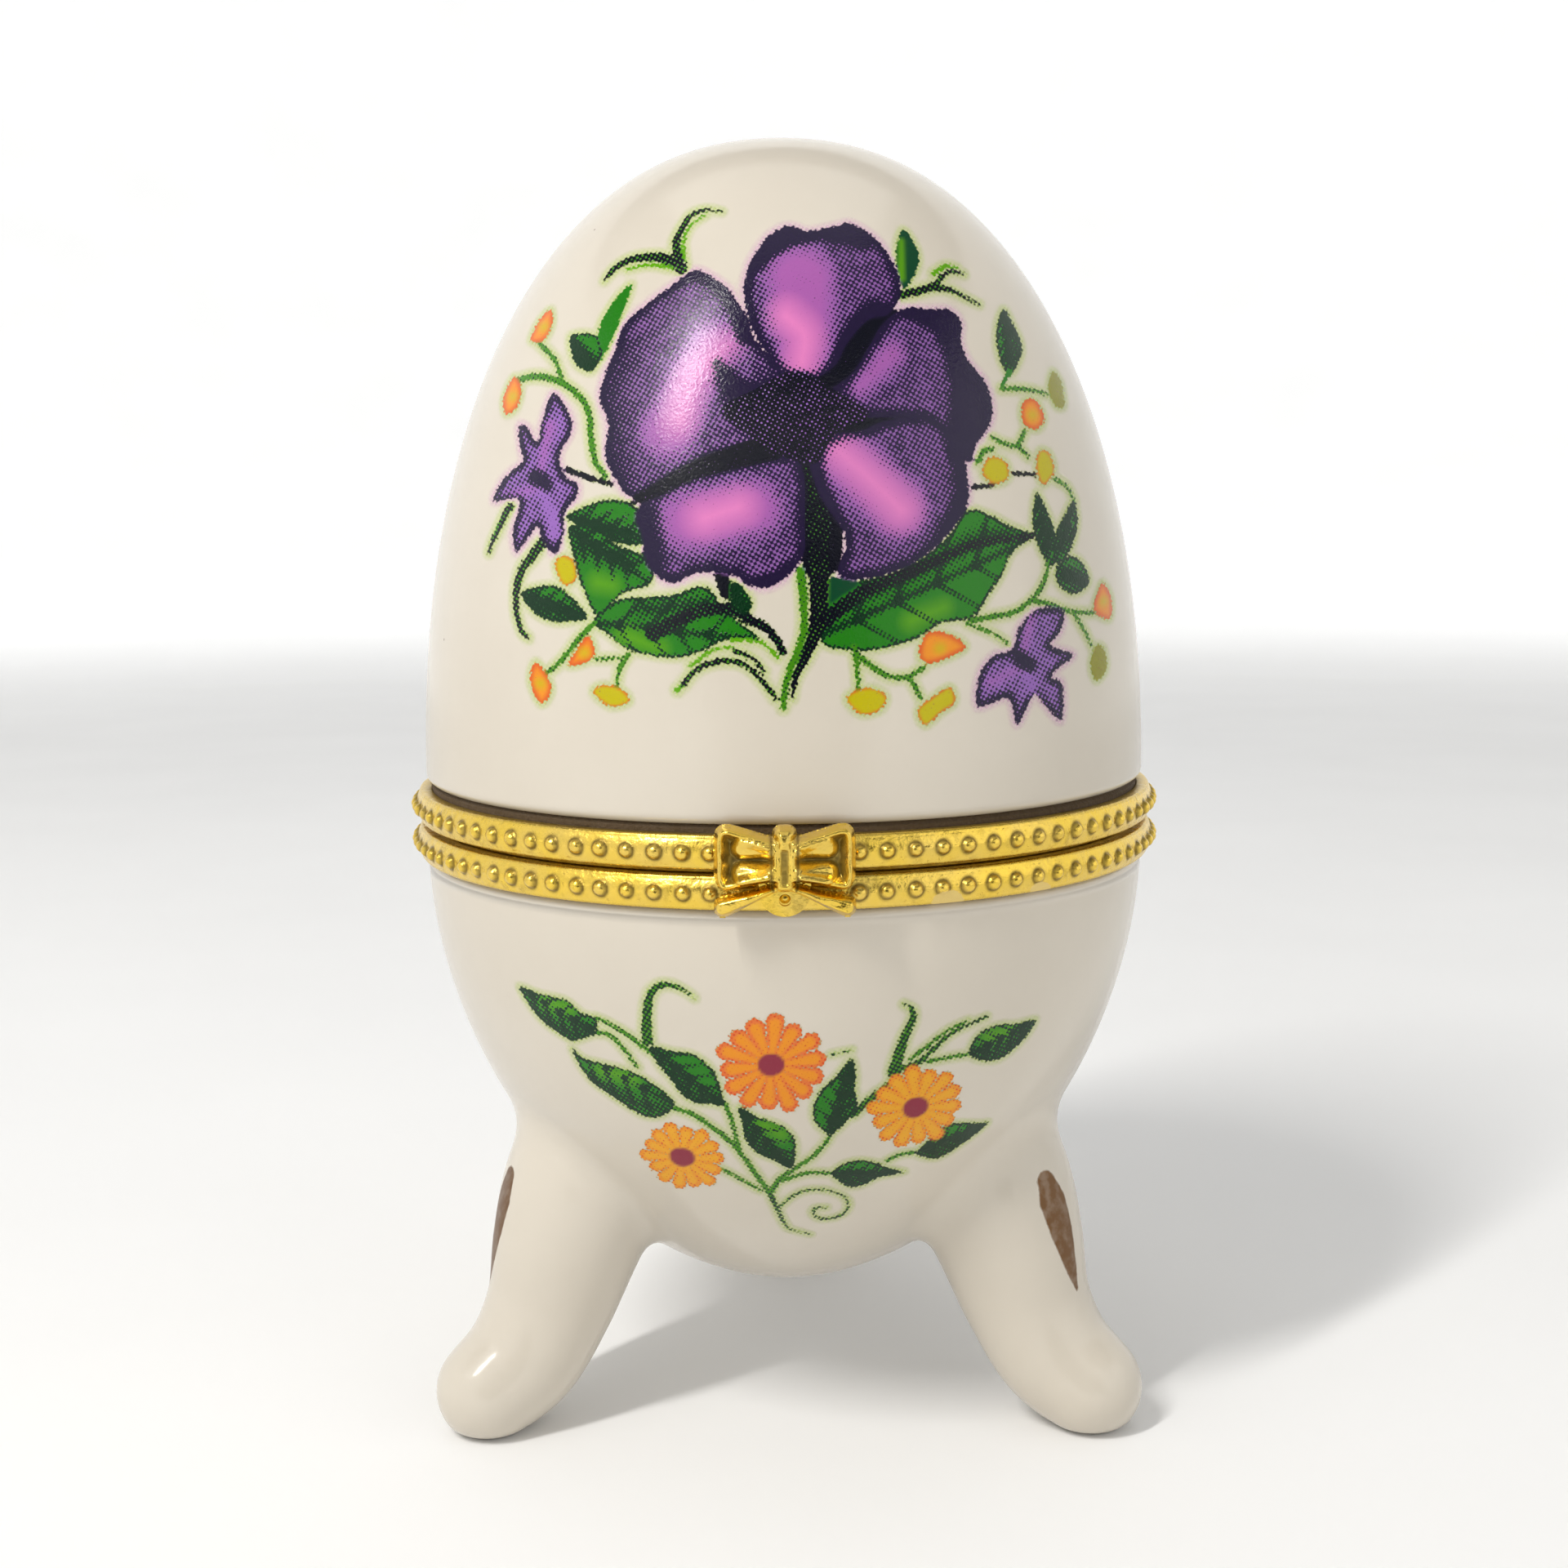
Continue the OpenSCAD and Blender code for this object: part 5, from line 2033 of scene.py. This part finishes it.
        for edges, ink in inks:
            for edge in edges:
                made += bud(edge, *ink)
        return made

    def violets(self) -> list:
        """Draws the two dark five-petalled flowers.

        Returns:
            The patches and strokes, lowest ink first.
        """
        left = (
            (-15.4, 76.2), (-16.2, 74.6), (-16.6, 72.9), (-17.4, 73.9), (-18.1, 74), (-17.9, 72.4),
            (-17.7, 71.6), (-19.1, 70.5), (-20, 68.9), (-17.9, 69), (-18.4, 66.8), (-18.1, 65.5),
            (-17.2, 66.4), (-16.5, 67.2), (-16.1, 66.3), (-15.2, 65.4), (-14.6, 66.8), (-14.5, 68.2),
            (-13.7, 69.1), (-13.6, 70), (-14.5, 70.6), (-14.9, 72), (-14, 74),
        )
        right = (
            (15.5, 59.1), (15.9, 60.3), (17.2, 61.4), (19.2, 61.2), (19, 59.8), (18.2, 58.9),
            (20, 58.1), (18.8, 57.3), (18.3, 56.7), (19.1, 56.2), (19, 53.7), (17.5, 55.2),
            (16.9, 55.7), (15.7, 53.8), (15, 55.6), (12.9, 55.2), (13, 57.3), (14, 58.5), (15, 58.7),
        )
        made = []
        for edge, (x, z) in ((left, (-16.3, 70.3)), (right, (16.2, 58))):
            shades = (
                Shade(((x + 0.6, z + 3.6), (x, z + 0.6)), Tone.PLUM, 0.8, 0.3, 0.6, 0.8),
                Shade(((x - 2.4, z - 1.2), (x + 0.4, z - 0.2)), Tone.PLUM, 0.7, 0.3, 0.4, 0.8),
                Shade(((x + 1.2, z - 3.4), (x, z - 0.4)), Tone.PURPLE, 0.9, 0.4, 0.7, 0.8),
                Shade(((x - 0.3, z + 0.2), (x + 0.4, z - 0.3)), Tone.NIGHT, 1, 0.8, 0.95, 0.6),
            )
            made.append(Patch(edge, Tone.PURPLE, Tone.NIGHT, 0.5, shades, Tone.BLUSH, Tone.INKWELL, 0.46))
        return made

    def items(self) -> list:
        """Everything on the lid, lowest ink first."""
        return self.leaves() + self.buds() + self.sprigs() + self.violets() + self.pansy()


@dataclass
class BowlPrint:
    """The three daisies and their leaves under the bow, as (across, height) points."""

    daisies: tuple = (((-1, 31.3), 3.5), ((8.9, 27.3), 3.2), ((-7.3, 23.4), 2.9))

    def leaves(self) -> list:
        """Draws the leaves, dark along their lower halves.

        Returns:
            The patches and strokes, lowest ink first.
        """
        return [
            *leaf(
                ((-18.6, 35.3), (-16.8, 35.1), (-15.1, 35), (-13.9, 34.2), (-13, 34), (-13, 32.9),
                 (-13.9, 32.3), (-14.8, 31.9), (-16, 32.4), (-17, 33), (-17.9, 34)),
                dark=((-17.2, 33.4), (-15, 32.5), (-13.4, 33)), lime=((-16.4, 34.6), (-15, 34.4)),
            ),
            *leaf(
                ((-14.9, 31.3), (-14, 30.7), (-12.5, 30.5), (-11, 30.3), (-9.9, 29.9), (-8.7, 29.1),
                 (-7.7, 28), (-8.5, 26.9), (-9.8, 26.6), (-11.2, 27.3), (-12.3, 28), (-13.5, 28.8),
                 (-14.3, 29.9)),
                dark=((-13.2, 29), (-11, 27.8), (-8.6, 27.4)), lime=((-12.6, 30), (-10.6, 29.6)),
            ),
            *leaf(
                ((-9.2, 32.3), (-7.7, 32.1), (-6.2, 31.9), (-5.1, 31), (-4.6, 29.9), (-4.3, 28.1),
                 (-5.1, 28.1), (-6.4, 28.2), (-7.2, 28.8), (-7.9, 29.9), (-8.7, 30.9)),
                dark=((-8, 30.4), (-6.4, 28.8), (-4.8, 28.4)),
            ),
            *leaf(
                ((-3.3, 28), (-1.9, 27.2), (-0.5, 26.6), (0.3, 25.8), (0.6, 24.8), (0.3, 22.8),
                 (-0.9, 23.6), (-2.1, 24.2), (-2.9, 25.4), (-3.1, 26.8)),
                dark=((-2.8, 26), (-1.6, 24.4), (0.1, 23.4)), lime=((-1.6, 26.6), (-0.4, 25.8)),
            ),
            *leaf(
                ((2.9, 25.6), (1.95, 26.7), (1.8, 28), (2.3, 29.3), (3.2, 30.2), (3.8, 31), (4.4, 31.6),
                 (4.7, 30.5), (4.65, 29.2), (4.8, 27.9), (4.1, 26.7), (3.3, 25.8)),
                dark=((4.3, 30.6), (4.2, 28.4), (3.4, 26.4)),
            ),
            *leaf(
                ((17.4, 32.7), (16, 32.7), (14.7, 32.9), (13.6, 32.7), (12.8, 32), (12.6, 31), (13.3, 30.4),
                 (14.6, 30.1), (15.6, 30.5), (16.5, 31.2), (17.2, 32)),
                dark=((16.6, 31.8), (14.8, 30.6), (13.2, 30.9)), lime=((14, 32.2), (15.4, 32.3)),
            ),
            *leaf(
                ((9, 23.4), (9.9, 24.3), (10.9, 25.3), (12.1, 25.4), (13.5, 25), (14.3, 24.8), (13.7, 24.2),
                 (12.5, 23.4), (11.3, 22.7), (10.5, 22.5), (9.6, 22.8)),
                dark=((10, 23), (12, 23.6), (13.6, 24.6)),
            ),
            *leaf(
                ((3.1, 22.3), (3.8, 23), (4.9, 23.3), (6.1, 23), (7.1, 22.3), (8.3, 21.7), (6.4, 21.5),
                 (5.3, 20.9), (4.3, 20.9), (3.5, 21.6)),
                dark=((3.8, 21.6), (5.4, 21.4), (7.4, 21.8)),
            ),
        ]

    def stems(self) -> list:
        """Draws the stems, the curls and the thin tendril.

        Returns:
            The patches and strokes, lowest ink first.
        """
        green = (
            (((-13, 34), (-12.1, 33.7), (-10.9, 33.1), (-9.7, 32.2), (-8.5, 31.4)), 0.3, 0.4),
            (((-13, 32.9), (-12, 32.8), (-11, 31.8), (-10.5, 31), (-10.2, 30.6)), 0.35, 0.3),
            (((-7.8, 27.6), (-6.5, 27.2), (-5.2, 26.3), (-4.2, 25.4), (-3.2, 24.1), (-2.2, 22.3),
              (-1.2, 20.4)), 0.4, 0.4),
            (((-4.2, 28.2), (-3.8, 27), (-3.5, 25.5), (-3.2, 24.1)), 0.35, 0.3),
            (((-4.5, 22.6), (-3.3, 21.8), (-1.9, 20.8)), 0.3, 0.3),
            (((-1.2, 20.4), (-0.6, 21.8), (0.4, 22.7), (1.7, 23.8), (2.6, 24.9), (2.9, 25.5)), 0.4, 0.3),
            (((-0.8, 21.5), (0, 21.9), (1.4, 22.4), (3.1, 22.3)), 0.35, 0.3),
            (((7, 23), (7.9, 23.4), (9, 23.4)), 0.3, 0.3),
            (((9.7, 30.9), (11.1, 31), (12.6, 31)), 0.3, 0.3),
            (((8.4, 31.2), (9.6, 32.1), (11, 33.1), (12.4, 33.6)), 0.3, 0.25),
        )
        black = (
            (((-1.2, 20.4), (-0.8, 19.2), (-0.5, 18.2), (0, 17), (0.7, 16.6), (1.6, 16.2)), 0.4, 0.15),
            (((4.5, 27.2), (5.5, 28.2), (6.5, 29), (7, 29.4), (7.7, 30.7)), 0.55, 0.6),
            (((8, 30.5), (9.1, 31), (10.1, 31.9), (11, 32.7), (12.1, 33.2), (13.7, 33.7)), 0.5, 0.2),
            (((-9.4, 32.7), (-9.4, 33.9), (-9.3, 35.2), (-9, 36.3), (-8.3, 36.9), (-7.5, 36.9),
              (-6.6, 36.5), (-6.1, 36.1)), 0.8, 0.15),
            (((7.3, 30.4), (7.6, 31.7), (8, 33), (8.5, 34.2), (8.5, 34.9), (7.9, 35.4)), 0.9, 0.2),
            (((-0.7, 19), (0.1, 20), (1.1, 20.7), (2.3, 20.8), (3.6, 20.3), (4.3, 19.4), (4.1, 18.4),
              (3.3, 17.9), (2.3, 17.9), (1.8, 18.5), (2, 19), (2.7, 19)), 0.2, 0.22),
            (((3, 32), (4.4, 32.3)), 0.16, 0.1),
        )
        made = [Stroke(path, Tone.LEAF, a, b, Tone.HALO, Tone.PINE, 0.36) for path, a, b in green]
        return made + [Stroke(path, Tone.LEAF, a, b, Tone.HALO, Tone.PINE, 0.55) for path, a, b in black]

    def items(self) -> list:
        """Gathers everything on the bowl.

        Returns:
            The patches and strokes, lowest ink first.
        """
        made = self.stems() + self.leaves()
        inks = ((Tone.CORAL, Tone.ORANGE), (Tone.ORANGE, Tone.MARIGOLD), (Tone.ORANGE, Tone.MARIGOLD))
        for i, ((centre, reach), (outer, inner)) in enumerate(zip(self.daisies, inks)):
            made += flower(centre, reach, outer, inner, turn=8.0 + 11 * i)
        return made


@dataclass
class TransferSheet:
    """One print laid on a shell as thin trimmed sheets of ink."""

    name: str
    body: str
    slot: str
    surface: EggHalf
    items: list
    x_cuts: tuple
    z_cuts: tuple
    step: float = 0.16
    film: float = 0.03
    margin: float = 0.14

    def reach(self, x: Array, z: Array) -> Array:
        """How far points lie inside the sheet, halo and margin included.

        Args:
            x: The points' places across.
            z: Their heights.

        Returns:
            The distance, below zero outside.
        """
        easel = Easel(x, z)
        easel.draw(self.items)
        return np.maximum(easel.depth + self.margin, (easel.halo - 0.03) * 1.3)

    def part(self, x_span: Point, z_span: Point, material: Material, index: int) -> None:
        """Makes one sheet.

        Args:
            x_span: Its first and last place across.
            z_span: Its first and last height.
            material: The ink's finish.
            index: The sheet's number.
        """
        net, quads = trimmed_grid(x_span, z_span, self.step, self.reach)
        x, z = net[:, 0], net[:, 1]
        radius = self.surface.radius(z) + self.film
        y = -np.sqrt(np.maximum(radius**2 - x**2, 0))
        easel = Easel(x, z)
        easel.draw(self.items)
        kept = {
            "depth": easel.depth, "halo": easel.halo, "dark": easel.dark,
            "ink": easel.ink, "deep": easel.deep, "halo_tint": easel.tint,
        }
        shape = Shape(np.column_stack([x, y, z]), quads.tolist(), kept)
        shape.piece(f"{self.name}_{index}", self.body, self.slot, material, turn_out=False)

    def build(self) -> None:
        """Makes all the sheets."""
        material = Transfer(name=f"{self.name}_ink").material()
        spans = product(pairwise(self.x_cuts), pairwise(self.z_cuts))
        for index, (x_span, z_span) in enumerate(spans, 1):
            self.part(x_span, z_span, material, index)


# ---- studio


@dataclass(frozen=True)
class Softbox:
    """A soft lamp."""

    name: str
    place: tuple
    aim: tuple
    size: tuple
    power: float
    tint: tuple = (1.0, 0.98, 0.95)

    def build(self) -> None:
        """Hangs the lamp."""
        data = bpy.data.lights.new(self.name, "AREA")
        data.shape = "RECTANGLE"
        data.size, data.size_y = self.size
        data.energy = self.power
        data.color = self.tint
        lamp = place(self.name, data)
        lamp.location = self.place
        way = Vector(self.aim) - Vector(self.place)
        lamp.rotation_mode = "QUATERNION"
        lamp.rotation_quaternion = way.to_track_quat("-Z", "Y")


@dataclass
class Studio:
    """The pale sweep, the lamps and the camera."""

    lens: float = 49.8
    sensor: float = 36.0
    camera_back: float = 0.167
    camera_up: float = 0.0707
    pitch: float = 8.18
    roll: float = -0.5
    floor_r: float = 0.9
    wall_r: float = 1.7
    wall_h: float = 1.5
    card_size: tuple = (0.62, 0.46, 0.01)
    card_place: tuple = (0.02, -0.5, 0.14)
    world: tuple = (0.95, 0.97, 1.0)
    world_strength: float = 0.2
    lamps: tuple = (
        Softbox("key", (-0.55, -0.45, 0.75), (0, 0, 0.05), (0.5, 0.5), 0.72),
        Softbox("top", (0.0, 0.1, 1.0), (0, 0, 0.05), (0.9, 0.9), 1.55),
        Softbox("strip", (-0.28, -0.316, 0.523), (-0.006, -0.021, 0.078), (0.03, 0.24), 2.4),
        Softbox("fill", (0.7, -0.35, 0.35), (0, 0, 0.05), (0.6, 0.6), 0.3),
    )

    def floor(self) -> None:
        """Makes the pale sweep, a flat round floor that rises to a wall all round."""
        bend = self.wall_r - self.floor_r
        section = [(0.0, 0.0)] + [(self.floor_r * i / 6, 0.0) for i in range(1, 7)]
        section += arc((self.floor_r, bend), bend, -90, 0, 16)[1:]
        section += [(self.wall_r, self.wall_h)]
        shape = revolve([(r / MM, z / MM) for r, z in section], 96)
        mesh = bpy.data.meshes.new("studio_sweep")
        mesh.from_pydata((shape.points * MM).tolist(), [], shape.faces)
        mesh.shade_smooth()
        self._stand(mesh, Paper().material())

    def card(self) -> None:
        """Stands a dark card in front, seen only in reflections, that gives the metal its darks."""
        wide, high, thick = self.card_size
        x, y, z = self.card_place
        work = bmesh.new()
        bmesh.ops.create_cube(work, size=1.0)
        bmesh.ops.scale(work, vec=(wide, thick, high), verts=work.verts)
        bmesh.ops.bevel(work, geom=work.edges[:], offset=thick / 4, segments=2, affect="EDGES")
        bmesh.ops.translate(work, vec=(x, y, z), verts=work.verts)
        mesh = bpy.data.meshes.new("dark_card")
        work.to_mesh(mesh)
        work.free()
        card = self._stand(mesh, DarkCard(self.card_place, self.card_size).material())
        card.visible_camera = card.visible_diffuse = card.visible_shadow = False

    def _stand(self, mesh: bpy.types.Mesh, material: Material) -> bpy.types.Object:
        """Puts a piece of the studio in place.

        Args:
            mesh: Its mesh, whose name it takes.
            material: Its finish.

        Returns:
            The new object.
        """
        mesh.materials.append(material)
        thing = place(mesh.name, mesh)
        return thing

    def sky(self) -> None:
        """Sets the soft light that comes from everywhere."""
        world = bpy.data.worlds.new("studio_sky")
        world.use_nodes = True
        back = world.node_tree.nodes["Background"]
        back.inputs["Color"].default_value = (*self.world, 1.0)
        back.inputs["Strength"].default_value = self.world_strength
        bpy.context.scene.world = world

    def camera(self) -> None:
        """Sets the camera in front, a little above the middle and leaning down."""
        data = bpy.data.cameras.new("camera")
        data.lens, data.sensor_width = self.lens, self.sensor
        data.clip_start, data.clip_end = 0.005, 20
        camera = place("camera", data)
        camera.location = (0, -self.camera_back, self.camera_up)
        lean = Quaternion((1, 0, 0), math.radians(90 - self.pitch))
        camera.rotation_mode = "QUATERNION"
        camera.rotation_quaternion = lean @ Quaternion((0, 0, 1), math.radians(self.roll))
        bpy.context.scene.camera = camera

    def build(self) -> None:
        """Sets up the whole studio."""
        self.floor()
        self.card()
        self.sky()
        self.camera()
        for lamp in self.lamps:
            lamp.build()
        bpy.context.scene.view_settings.view_transform = "Standard"


# ---- assembly


def main() -> None:
    """Builds and dresses every sub-assembly in order."""
    logging.basicConfig(level=logging.INFO, format="%(message)s")
    Studio().build()
    lid, bowl = LidShell(), FootedBowl()
    lid.build()
    bowl.build()
    BeadedBand(Half.BASE, 42.3, 44.6, lip=(25.4, 25.9, 45.3), seed=7).build()
    BeadedBand(Half.LID, 45.0, 47.3, seed=11).build()
    BowCatch().build()
    PlainFittings().build()
    TransferSheet(
        "lid_print", "lid", "lid_porcelain", lid.outer, LidPrint().items(),
        (-21.5, 0.8, 24.2), (53.0, 71.2, 89.5),
    ).build()
    TransferSheet(
        "bowl_print", "base", "base_porcelain", bowl.outer, BowlPrint().items(),
        (-19.6, 0.9, 18.4), (15.4, 37.8),
    ).build()


if __name__ == "__main__":
    main()
